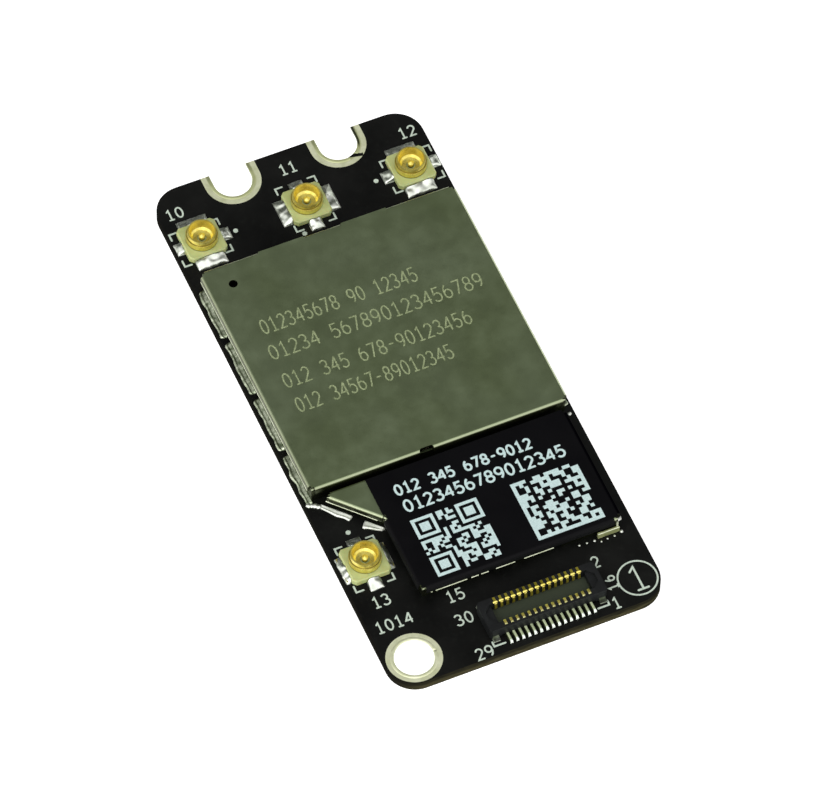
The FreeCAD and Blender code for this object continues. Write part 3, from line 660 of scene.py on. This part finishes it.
# Faint etched rows on the large lid
ETCH_ROWS = (("012345678 90 12345", -6.85, 3.85, 7.03), ("01234 567890123456789", -7.12, 7.5, 5.04),
             ("012 345 678-90123456", -7.14, 5.7, 2.75), ("012 34567-89012345", -7.1, 3.6, 0.78))
ETCH_HEIGHT = 1.05
etched = Print(LID_TOP - ETCH_SINK, LID_TOP + ETCH_RISE)
for row in ETCH_ROWS:
    fitted_row(etched, *row, ETCH_HEIGHT, ETCH_STROKE)
etched.finish("etched_rows", ETCH, "shield_sheet")


# Solder: how far lumps sink, and the steps and the unevenness of each kind
LUMP_SINK = 0.01 * MM
LAND_FLOOR = BOARD_TOP - LUMP_SINK
SPOTS_PER_MM = 10000
SEED_STEP = 7.3
DROP_RINGS, DROP_SIDES = 5, 16
DROP_UNEVEN, DROP_GRAIN = 0.22, 0.9
PAD_STEP, FEWEST_PAD_STEPS = 0.06 * MM, 6
PAD_GRAIN, EDGE_GRAIN = mm(0.4, 0.35)
PAD_POWER, EDGE_POWER = 4, 4
RUN_STEP, FEWEST_RUN_STEPS, RUN_ACROSS = 0.07 * MM, 8, 9
RUN_END = 0.16 * MM
END_WIDTH, END_GAIN = 0.30, 0.70
RUN_WIDTH, WIDTH_GRAIN = 0.93, 0.75 * MM
RUN_CROWN, CROWN_UNEVEN, CROWN_GRAIN = 0.90, 0.25, 0.9 * MM
SWELL, SWELL_PLACE, SWELL_WIDTH = 0.06 * MM, 0.78, 0.14
SWELL_UNEVEN, SWELL_GRAIN = 0.7, 0.5 * MM
LONGEST_REACH = 1.25
RAIL_STEP, FEWEST_RAIL_STEPS = 0.08 * MM, 3
RAIL_GRAIN = 0.3 * MM


def islands(name):
    """The lowest corner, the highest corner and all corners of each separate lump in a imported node."""
    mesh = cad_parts[name].data
    parent = list(range(len(mesh.vertices)))

    def root_of(i):
        while parent[i] != i:
            parent[i] = parent[parent[i]]
            i = parent[i]
        return i

    seen = {}
    for vert in mesh.vertices:
        key = tuple(round(value / MM * SPOTS_PER_MM) for value in vert.co)
        parent[root_of(vert.index)] = root_of(seen.setdefault(key, vert.index))
    for edge in mesh.edges:
        parent[root_of(edge.vertices[0])] = root_of(edge.vertices[1])
    groups = {}
    for vert in mesh.vertices:
        groups.setdefault(root_of(vert.index), []).append(vert.co)
    boxes = []
    for group in groups.values():
        low, high = (Vector([pick(co[i] for co in group) for i in range(3)]) for pick in (min, max))
        boxes.append((low, high, group))
    return boxes


def unevenness(x, y, seed, size):
    """A smooth value between about -1 and 1."""
    return noise.noise(Vector((x / size, y / size, SEED_STEP * seed)))


class Lumps:
    """Uneven closed lumps of solder or metal, gathered into one piece."""

    def __init__(self):
        self.verts = []
        self.faces = []

    def sheet(self, rows, low):
        """Closes a grid of points with a flat underside at a height."""
        start = len(self.verts)
        count, across = len(rows), len(rows[0])
        for row in rows:
            self.verts.extend(row)
        layer = count * across
        for row in rows:
            self.verts.extend((x, y, low) for x, y, z in row)
        for i in range(count - 1):
            for j in range(across - 1):
                a = start + i * across + j
                b, c, d = a + across, a + across + 1, a + 1
                self.faces += [(a, b, c, d), (layer + d, layer + c, layer + b, layer + a)]
        rim = [i * across for i in range(count)]
        rim += [(count - 1) * across + j for j in range(1, across)]
        rim += [i * across + across - 1 for i in range(count - 2, -1, -1)]
        rim += list(range(across - 2, 0, -1))
        for here, there in zip(rim, rim[1:] + rim[:1]):
            self.faces.append((start + there, start + here, start + layer + here, start + layer + there))

    def dome(self, centre, radius, height, low, seed):
        """A small round drop."""
        start = len(self.verts)
        self.verts.append((centre.x, centre.y, low + height))
        for ring in range(1, DROP_RINGS + 1):
            share = ring / DROP_RINGS
            lift = height * math.sqrt(1.0 - share * share)
            for turn in range(DROP_SIDES):
                angle = math.tau * turn / DROP_SIDES
                x, y = math.cos(angle), math.sin(angle)
                reach = radius * share * (1.0 + DROP_UNEVEN * unevenness(x, y, seed, DROP_GRAIN))
                self.verts.append((centre.x + reach * x, centre.y + reach * y, low + lift))
        for ring in range(DROP_RINGS):
            outer = start + 1 + ring * DROP_SIDES
            inner = outer - DROP_SIDES
            for turn in range(DROP_SIDES):
                after = (turn + 1) % DROP_SIDES
                within = (inner + turn, inner + after) if ring else (start,)
                self.faces.append((within[0], outer + turn, outer + after, *within[1:]))
        self.faces.append(tuple(outer + turn for turn in reversed(range(DROP_SIDES))))

    def pad(self, low, high, base, heights, away, seed, floor, step=PAD_STEP, wobble=0.25, ragged=0.0,
            end_power=6):
        """Solder on a rectangle that falls from the piece that it holds towards its outer side."""
        size = (high.x - low.x, high.y - low.y)
        count = [max(FEWEST_PAD_STEPS, round(side / step)) for side in size]
        near, far = heights
        rows = []
        for i in range(count[0] + 1):
            row = []
            for j in range(count[1] + 1):
                u = 2.0 * i / count[0] - 1.0
                v = 2.0 * j / count[1] - 1.0
                x = low.x + size[0] * i / count[0]
                y = low.y + size[1] * j / count[1]
                outward, sideways = (u * away.x, v) if abs(away.x) > abs(away.y) else (v * away.y, u)
                outward = 0.5 + 0.5 * outward
                round_off = math.sqrt((1.0 - outward ** end_power) * (1.0 - abs(sideways) ** PAD_POWER))
                lump = 1.0 + wobble * unevenness(x, y, seed, PAD_GRAIN)
                edge = max(abs(u), abs(v)) ** EDGE_POWER
                dx = ragged * edge * unevenness(y, x, seed + 30, EDGE_GRAIN)
                dy = ragged * edge * unevenness(x, y, seed + 60, EDGE_GRAIN)
                row.append((x + dx, y + dy, base + round_off * lump * (near + (far - near) * outward)))
            rows.append(row)
        self.sheet(rows, floor)

    def run(self, crest, crest_end, toe, seed, rise, spread, taper=0.0, uneven=0.24):
        """A run of solder against a wall: a slope with an uneven swollen toe."""
        length = (crest_end - crest).length
        direction = (crest_end - crest) / length
        out = Vector((toe.x - crest.x, toe.y - crest.y, 0.0))
        width = out.length * spread
        out = out.normalized()
        height = (crest.z - toe.z) * rise
        count = max(FEWEST_RUN_STEPS, round(length / RUN_STEP))
        rows = []
        for i in range(count + 1):
            gone = length * i / count
            spot = crest + direction * gone
            ends = min(1.0, min(gone, length - gone) / RUN_END)
            ends = math.sqrt(1.0 - (1.0 - ends) ** 2)
            reach = width * (END_WIDTH + END_GAIN * ends)
            reach = reach * (RUN_WIDTH + uneven * unevenness(spot.x, spot.y, seed, WIDTH_GRAIN))
            reach *= 1.0 + taper * (gone / length - 0.5)
            reach = min(reach, LONGEST_REACH * width)
            crown = RUN_CROWN + CROWN_UNEVEN * unevenness(spot.y, spot.x, seed + 50, CROWN_GRAIN)
            crown = height * ends * crown
            row = []
            for j in range(RUN_ACROSS + 1):
                t = j / RUN_ACROSS
                lip = SWELL * ends * math.exp(-((t - SWELL_PLACE) / SWELL_WIDTH) ** 2)
                lip *= 1.0 + SWELL_UNEVEN * unevenness(spot.x + t * MM, spot.y, seed + 90, SWELL_GRAIN)
                z = crown * (1.0 - t) + lip if j < RUN_ACROSS else 0.0
                at = spot + out * (reach * t)
                row.append((at.x, at.y, toe.z + z))
            rows.append(row)
        if direction.cross(out).z < 0.0:
            rows.reverse()
        self.sheet(rows, toe.z - LUMP_SINK)

    def rail(self, start, end, out, section, seed, uneven=0.35):
        """A small bar along an upright face: a section of reaches and lifts, drawn along a line."""
        count = max(FEWEST_RAIL_STEPS, round((end - start).length / RAIL_STEP))
        corners = len(section)
        first = len(self.verts)
        for i in range(count + 1):
            spot = start + (end - start) * (i / count)
            grow = 1.0 + uneven * unevenness(spot.x, spot.y, seed, RAIL_GRAIN)
            for reach, lift in section:
                corner = spot + out * reach
                self.verts.append((corner.x, corner.y, corner.z + lift * grow))
        for i in range(count):
            here, there = first + corners * i, first + corners * (i + 1)
            for k in range(corners):
                after = (k + 1) % corners
                self.faces.append((here + k, there + k, there + after, here + after))
        last = first + corners * count
        self.faces.append(tuple(first + k for k in range(corners)))
        self.faces.append(tuple(last + k for k in reversed(range(corners))))

    def level_rail(self, span, y, z, *settings):
        """A rail from left to right."""
        self.rail(Vector((span[0], y, z)), Vector((span[1], y, z)), *settings)

    def lip(self, path, profile, base):
        """A low bead along a path: its height at some distances to the outer side of the path."""
        rows = [[(*(spot + side * reach), base + lift) for reach, lift in profile] for spot, side in path]
        self.sheet(rows, base - LUMP_SINK)

    def finish(self, name, mat, slot_name, smooth=True):
        return add_piece(name, self.verts, self.faces, mat, smooth)


# Solder on the lands of the jacks, over the feet of their legs
LEG_COVER = mm(0.33, 0.10)
LEG_WOBBLE = 0.45
LEG_RAGGED = 0.07 * MM
FRONT_SWELL = 0.07 * MM
jack_boxes = [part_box("jack_%d_insulator" % number) for number in range(4)]
wet = Lumps()
for seed, (low, high, _) in enumerate(islands("jack_lands")):
    middle = middle_of(low, high)
    body = min(jack_boxes, key=lambda box: (middle_of(*box) - middle).length)
    offset = middle - middle_of(*body)
    axis = 0 if abs(offset.x) > abs(offset.y) else 1
    away = Vector((0.0, 0.0))
    away[axis] = math.copysign(1.0, offset[axis])
    if away[axis] > 0.0:
        low[axis] = max(low[axis], body[1][axis])
    else:
        high[axis] = min(high[axis], body[0][axis])
        low.y -= FRONT_SWELL * axis
    wet.pad(low, high, high.z, LEG_COVER, away, seed, LAND_FLOOR, wobble=LEG_WOBBLE, ragged=LEG_RAGGED)
wet.finish("jack_land_solder", LAND_SOLDER, "solder")

# Solder on the tails and the corner tabs of the connector
TAIL_COVER = mm(0.16, 0.21)
TAIL_SHAPE = {"step": 0.02 * MM, "wobble": 0.1, "end_power": 16}
WIDEST_TAIL = 0.3 * MM
NAIL_COVER = mm(0.05, 0.03)
connector_middle = middle_of(*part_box("connector_housing"))
tails = Lumps()
nail_wet = Lumps()
for seed, (low, high, _) in enumerate(islands("connector_lands")):
    away = Vector((0.0, math.copysign(1.0, middle_of(low, high).y - connector_middle.y)))
    if high.x - low.x > WIDEST_TAIL:
        nail_wet.pad(low, high, high.z, NAIL_COVER, away, seed, LAND_FLOOR)
    else:
        tails.pad(low, high, high.z, TAIL_COVER, away, seed, LAND_FLOOR, **TAIL_SHAPE)
tails.finish("connector_solder", TINNED, "solder")
nail_wet.finish("nail_solder", SHADED_DULL_TIN, "solder")

# Bright noses where the contacts turn over the walls of the connector, with springs and straps behind: the
# rear noses are lit gold as a painted highlight, the springs and straps shaded gold as painted shade
NOSE_HALF = {"rear": 0.16 * MM, "front": 0.10 * MM}
NOSE_ROWS = {"rear": (mm(-17.05, -16.94),), "front": (mm(-18.46, -18.37), mm(-18.72, -18.63))}
NOSE_HEIGHT = mm(0.07, 0.03)
NOSE_SHAPE = {"step": 0.03 * MM, "wobble": 0.1}
SPRING_HALF = 0.08 * MM
SPRING = (mm(-0.01, -0.5), mm(0.10, -0.5), mm(0.09, -0.38), mm(0.0, -0.04), mm(-0.01, -0.04))
STRAP = (mm(-0.02, -0.02), mm(-0.02, 0.03), mm(0.30, 0.02), mm(0.34, -0.02))
FORWARD = Vector((0.0, -1.0, 0.0))
noses = {"rear": Lumps(), "front": Lumps()}
straps = Lumps()
for row, spans in NOSE_ROWS.items():
    for seed, (low, high, _) in enumerate(islands("connector_%s_contacts" % row)):
        x = middle_of(low, high).x
        for y0, y1 in spans:
            near, far = Vector((x - NOSE_HALF[row], y0)), Vector((x + NOSE_HALF[row], y1))
            noses[row].pad(near, far, high.z - LUMP_SINK, NOSE_HEIGHT, flat(FORWARD), seed,
                           high.z - 2.0 * LUMP_SINK, **NOSE_SHAPE)
        if row == "rear":
            span = (x - SPRING_HALF, x + SPRING_HALF)
            straps.level_rail(span, spans[0][0], high.z, FORWARD, SPRING, seed, 0.0)
            straps.level_rail(span, spans[0][1], high.z, -FORWARD, STRAP, seed, 0.0)
noses["rear"].finish("rear_contact_noses", LIT_GOLD, "gold")
noses["front"].finish("front_contact_noses", FRONT_NOSE, "gold")
straps.finish("contact_straps", SHADED_GOLD, "gold", False)

# Solder along the feet of the shields: runs at the cut corner have ends and tapers of their own
RUN_FINISH = {"main_shield": RUN_SOLDER, "front_shield": WHITE_SOLDER}
RUN_OVERRUN = 0.15 * MM
WALL_RISE = 0.5
CORNER_RUN_BELOW = -4.5 * MM
CORNER_RUN_EXTRA = 0.5 * MM
LEVEL_SLACK, END_SLACK = mm(0.01, 0.02)
SLANTED = 0.2
CUT_START = point(-8.205, -5.62)
CUT_END = point(-5.255, -8.77)
CUT_RUNS = ((0.05, 2.25, 0.5), (3.05, 4.43, -0.9))
CUT_SPLIT = 2.0
CUT_UNEVEN, CUT_SPREAD, CUT_RISE = 0.4, 0.95, 0.28
CUT_CLEAR = 0.20 * MM
cut_along = (CUT_END - CUT_START).normalized()


def overrun(corner):
    """How far a run goes past an end of its solid: further at the front left corner."""
    at_corner = corner.y < CORNER_RUN_BELOW and corner.x < 0.0
    return RUN_OVERRUN + (CORNER_RUN_EXTRA if at_corner else 0.0)


for shield in ("main_shield", "front_shield"):
    runs = Lumps()
    for seed, (low, high, corners) in enumerate(islands(shield + "_solder")):
        crests = [corner for corner in corners if corner.z > high.z - LEVEL_SLACK]
        ground = [corner for corner in corners if corner.z < low.z + LEVEL_SLACK]
        first = crests[0]
        last = max(crests, key=lambda corner: (corner - first).length)
        along_run = (last - first).normalized()
        level = [corner for corner in ground if abs((corner - first).dot(along_run)) < END_SLACK]
        toe = max(level, key=lambda corner: (flat(corner) - flat(first)).length)
        if abs(along_run.x) > SLANTED and abs(along_run.y) > SLANTED:
            if flat(along_run).dot(cut_along) < 0.0:
                first, last, along_run, toe = last, first, -along_run, toe + last - first
            start = (flat(first) - CUT_START).dot(cut_along) / MM
            cut_from, cut_to, taper = CUT_RUNS[0] if start < CUT_SPLIT else CUT_RUNS[1]
            shift = along_run * ((cut_from - start) * MM)
            last = first + along_run * ((cut_to - start) * MM)
            first, toe = first + shift, toe + shift
            clear = Vector((toe.x - first.x, toe.y - first.y, 0.0)).normalized() * CUT_CLEAR
            runs.run(first + clear, last + clear, toe + clear, seed, CUT_RISE, CUT_SPREAD, taper, CUT_UNEVEN)
        else:
            before = along_run * overrun(first)
            last = last + along_run * overrun(last)
            runs.run(first - before, last, toe - before, seed, WALL_RISE, 1.0)
    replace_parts(runs.finish(shield + "_solder_runs", RUN_FINISH[shield], "solder"), shield + "_solder")

# Loose drops of solder: place and radius
DROPS = ((5.33, -14.70, 0.09), (5.83, -14.73, 0.09), (6.34, -14.76, 0.10), (6.71, -14.98, 0.07),
         (7.15, -14.93, 0.07), (7.63, -14.91, 0.08), (8.15, -14.79, 0.12), (8.77, -5.58, 0.14),
         (-8.88, -5.49, 0.20), (-8.70, -5.56, 0.19), (-8.52, -5.66, 0.20), (-8.34, -5.80, 0.20))
DROP_HEIGHT = 0.8
drops = Lumps()
for seed, (x, y, radius) in enumerate(DROPS):
    drops.dome(point(x, y), radius * MM, DROP_HEIGHT * radius * MM, LAND_FLOOR, seed)
drops.finish("solder_drops", FINISHES["solder"], "solder")

# Sheared lower edges of the lids, bare metal painted pale as a highlight along them
BURR_SINK, BURR_WIDTH, BURR_PROUD = mm(0.01, 0.055, 0.03)
BURR_BULGE = 0.3
BURR = ((-BURR_SINK, 0.0), (BURR_PROUD, BURR_BULGE * BURR_WIDTH), (-BURR_SINK, BURR_WIDTH))
CORNER_CLEAR = 0.42 * MM
FRONT_DASHES = ((-4.60, -4.50), (-4.29, -2.18), (-1.90, -1.40), (-1.24, -0.74), (-0.24, 1.04), (1.65, 3.32),
                (3.26, 3.65))
main_low, main_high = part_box("main_shield_lid")
front_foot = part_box("front_shield_lid")[0].z
film_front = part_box("label")[0].y
burrs = Lumps()
burrs.rail(Vector((main_low.x, main_low.y + CORNER_CLEAR, main_low.z)),
           Vector((main_low.x, main_high.y - CORNER_CLEAR, main_low.z)), Vector((-1.0, 0.0, 0.0)), BURR, 1)
cut_out = Vector((cut_along.y, -cut_along.x, 0.0))
cut_first = CUT_START + cut_along * CORNER_CLEAR
cut_last = CUT_END - cut_along * CORNER_CLEAR
burrs.rail(Vector((*cut_first, front_foot)), Vector((*cut_last, front_foot)), cut_out, BURR, 2)
for seed, dash in enumerate(FRONT_DASHES, 3):
    burrs.level_rail(mm(*dash), film_front, front_foot, FORWARD, BURR, seed)

# Tab at the right end of the front skirt, with a top edge painted pale as a highlight, and a prong
TAB_SPAN = mm(6.60, 8.05)
TAB_TOP, TAB_PROUD = mm(1.20, 0.15)
TAB_LEAN, TAB_EDGE, TAB_UNEVEN = 0.85, 0.8, 0.08
PRONG_SPAN = mm(7.88, 8.0)
PRONG_PROUD = mm(0.06, 0.04)
PRONG_TALL = 0.5 * MM
PRONG_UNEVEN = 0.1


def upright_bar(foot, top, tall):
    """The section of a bar that stands proud by a reach at its foot and another at its top."""
    return ((-BURR_SINK, 0.0), (foot, 0.0), (top, tall), (-BURR_SINK, tall))


tab = Lumps()
tab.level_rail(TAB_SPAN, film_front, BOARD_TOP, FORWARD,
               upright_bar(TAB_PROUD, TAB_LEAN * TAB_PROUD, TAB_TOP - BOARD_TOP), 20, TAB_UNEVEN)
tab.finish("skirt_tab", TAB_FINISH, "shield_sheet", False)
burrs.level_rail(TAB_SPAN, film_front - TAB_EDGE * TAB_PROUD, TAB_TOP, FORWARD, BURR, 21)
burrs.level_rail(PRONG_SPAN, film_front, TAB_TOP, FORWARD,
                 upright_bar(*PRONG_PROUD, PRONG_TALL), 22, PRONG_UNEVEN)
burrs.finish("sheared_edges", SHEARED_HIGHLIGHT, "shield_sheet", False)

# Raised lips round the plated hole and the notches; the right notch's lip is broken by a scrape
LIP_PROFILE = (mm(0.02, 0.0), mm(0.04, 0.022), mm(0.09, 0.034), mm(0.15, 0.030), mm(0.20, 0.014),
               mm(0.24, 0.0))
LIP_RADIUS = 1.25 * MM
LIP_STEPS = 48
REAR_CLEAR = 0.02 * MM
SCRAPE_ANGLES = (283.0, 306.0)
NOTCH_STOPS = {"left": (180.0, 360.0), "right": (180.0, *SCRAPE_ANGLES, 360.0)}


def round_path(centre, start, end):
    angles = [math.radians(start + (end - start) * step / LIP_STEPS) for step in range(LIP_STEPS + 1)]
    sides = [Vector((math.cos(a), math.sin(a))) for a in angles]
    return [(flat(centre) + side * LIP_RADIUS, side) for side in sides]


lips = Lumps()
lips.lip(round_path(middle_of(*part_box("mount_hole_plating")), 0.0, 360.0), LIP_PROFILE, BOARD_TOP)
to_rear = Vector((0.0, NOTCH_DEEP - REAR_CLEAR))
for side, stops in NOTCH_STOPS.items():
    low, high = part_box(side + "_notch_plating")
    centre = Vector((middle_of(low, high).x, high.y - NOTCH_DEEP))
    for start, end in zip(stops[::2], stops[1::2]):
        path = round_path(centre, start, end)
        if start == stops[0]:
            path = [(path[0][0] + to_rear, path[0][1])] + path
        if end == stops[-1]:
            path = path + [(path[-1][0] + to_rear, path[-1][1])]
        lips.lip(path, LIP_PROFILE, BOARD_TOP)
lips.finish("plated_lips", FINISHES["plating"], "plating")

# The dark streak in the groove where the plating of the right notch is scraped off
SCRAPE_PLACE = (4.23, 17.85)
SCRAPE_TILT = math.radians(-13.0)
SCRAPE_HALF = 0.105
SCRAPE_SPANS = ((-0.40, 0.60), (-0.05, 0.60))
SCRAPE_SINK = 0.045 * MM
SCRAPE_STEPS = 16
SCRAPE_RAGGED, SCRAPE_GRAIN, SCRAPE_SEED = 0.05, 0.17, 5
scrape = Print(BOARD_TOP - SCRAPE_SINK, BOARD_TOP + INK_RISE)
scrape_turn = Matrix.Rotation(SCRAPE_TILT, 2)
scrape_sides = []
for sign, (start, end) in zip((-1.0, 1.0), SCRAPE_SPANS):
    line = []
    for step in range(SCRAPE_STEPS + 1):
        reach = start + (end - start) * step / SCRAPE_STEPS
        half = SCRAPE_HALF + SCRAPE_RAGGED * unevenness(reach, sign, SCRAPE_SEED, SCRAPE_GRAIN)
        line.append((point(*SCRAPE_PLACE) + scrape_turn @ point(reach, sign * half))[:])
    scrape_sides.append(line)
scrape.strip(*scrape_sides)
scrape.finish("plating_scrape", FINISHES["solder_mask"], "solder_mask")


# Floor, light and camera
FLOOR_REACH = 1.5
FLOOR_ROWS = 24
FLOOR_GLOW = 0.6
FLOOR_GAP = 0.01 * MM

# The dome's bright side, and its levels from the dim side to the bright side
BRIGHT_SIDE = (-0.45, -0.89, 0.0)
DOME_STOPS = ((0.0, 0.17), (0.265, 0.17), (0.36, 0.42), (0.44, 0.95), (0.5, 1.4))
DOME_BLUE = 0.985

# Lamps: name, azimuth and elevation in degrees, size in metres and power in watts
LAMPS = (("front_box", -40.0, 38.0, 0.35, 0.9), ("left_box", -95.0, 42.0, 0.3, 0.15),
         ("right_box", 121.0, 12.0, 0.3, 0.4))
LAMP_DISTANCE = 0.6

# Camera: the direction it looks from, its roll, its distance and its lens
CAMERA_AZIMUTH = math.radians(-24.5308)
CAMERA_ELEVATION = math.radians(56.2551)
CAMERA_ROLL = math.radians(1.1929)
CAMERA_DISTANCE = 0.50032
CAMERA_LENS = 352.94
CAMERA_SENSOR = 36.0
CAMERA_CLIP = 0.01
IMAGE_WIDTH = 816
SHIFT_PIXELS = (3.264, 0.531)


def make_floor():
    places = [FLOOR_REACH * (2.0 * i / FLOOR_ROWS - 1.0) for i in range(FLOOR_ROWS + 1)]
    verts = [(x, y, cad_box[0].z - FLOOR_GAP) for x in places for y in places]
    row = FLOOR_ROWS + 1
    starts = [i * row + j for i in range(FLOOR_ROWS) for j in range(FLOOR_ROWS)]
    faces = [(a, a + row, a + row + 1, a + 1) for a in starts]
    mesh = bpy.data.meshes.new("floor")
    mesh.from_pydata(verts, [], faces)
    sockets = {"Roughness": 0.9, "Specular IOR Level": 0.1, "Emission Color": (1.0, 1.0, 1.0, 1.0),
               "Emission Strength": FLOOR_GLOW}
    mat, patch = begin("floor_finish", sockets, (40.0, 3.0))
    drive(mat, "Base Color", mixed(mat, patch, (0.93, 0.93, 0.925), (0.95, 0.95, 0.948)))
    mesh.materials.append(mat)
    floor = bpy.data.objects.new("floor", mesh)
    bpy.context.scene.collection.objects.link(floor)


def view_direction(azimuth, elevation):
    level = math.cos(elevation)
    return Vector((math.sin(azimuth) * level, -math.cos(azimuth) * level, math.sin(elevation)))


def make_world():
    """A studio dome that is bright in front and on the left, and dim behind, where the lids mirror it."""
    world = bpy.data.worlds.new("studio")
    bpy.context.scene.world = world
    world.use_nodes = True
    direction = node(world, "ShaderNodeTexCoord").outputs["Generated"]
    inputs = {0: direction, 1: BRIGHT_SIDE}
    towards = node(world, "ShaderNodeVectorMath", inputs, operation="DOT_PRODUCT").outputs["Value"]
    ramp = node(world, "ShaderNodeValToRGB", {"Fac": ranged(world, towards, -1.0, 1.0)})
    band = ramp.color_ramp
    while len(band.elements) < len(DOME_STOPS):
        band.elements.new(0.5)
    for element, (position, level) in zip(band.elements, DOME_STOPS):
        element.position = position
        element.color = (level, level, level * DOME_BLUE, 1.0)
    background = world.node_tree.nodes["Background"]
    world.node_tree.links.new(ramp.outputs["Color"], background.inputs["Color"])


def soft_box(name, azimuth, elevation, size, watts):
    lamp = bpy.data.lights.new(name, "AREA")
    lamp.shape = "DISK"
    lamp.size = size
    lamp.energy = watts
    holder = bpy.data.objects.new(name, lamp)
    back = view_direction(math.radians(azimuth), math.radians(elevation))
    holder.location = back * LAMP_DISTANCE
    holder.rotation_euler = back.to_track_quat("Z", "Y").to_euler()
    bpy.context.scene.collection.objects.link(holder)


def make_camera():
    back = view_direction(CAMERA_AZIMUTH, CAMERA_ELEVATION)
    right = Vector((math.cos(CAMERA_AZIMUTH), math.sin(CAMERA_AZIMUTH), 0.0))
    up = back.cross(right)
    c, s = math.cos(CAMERA_ROLL), math.sin(CAMERA_ROLL)
    rolled_right = right * c + up * s
    rolled_up = up * c - right * s
    turn = Matrix((rolled_right, rolled_up, back)).transposed().to_4x4()
    lens = bpy.data.cameras.new("camera")
    lens.sensor_width = CAMERA_SENSOR
    lens.lens = CAMERA_LENS
    lens.shift_x = SHIFT_PIXELS[0] / IMAGE_WIDTH
    lens.shift_y = SHIFT_PIXELS[1] / IMAGE_WIDTH
    lens.clip_start = CAMERA_CLIP
    camera = bpy.data.objects.new("camera", lens)
    camera.matrix_world = Matrix.Translation(back * CAMERA_DISTANCE) @ turn
    bpy.context.scene.collection.objects.link(camera)
    bpy.context.scene.camera = camera


make_floor()
make_world()
for settings in LAMPS:
    soft_box(*settings)
make_camera()
bpy.context.scene.view_settings.view_transform = "Standard"
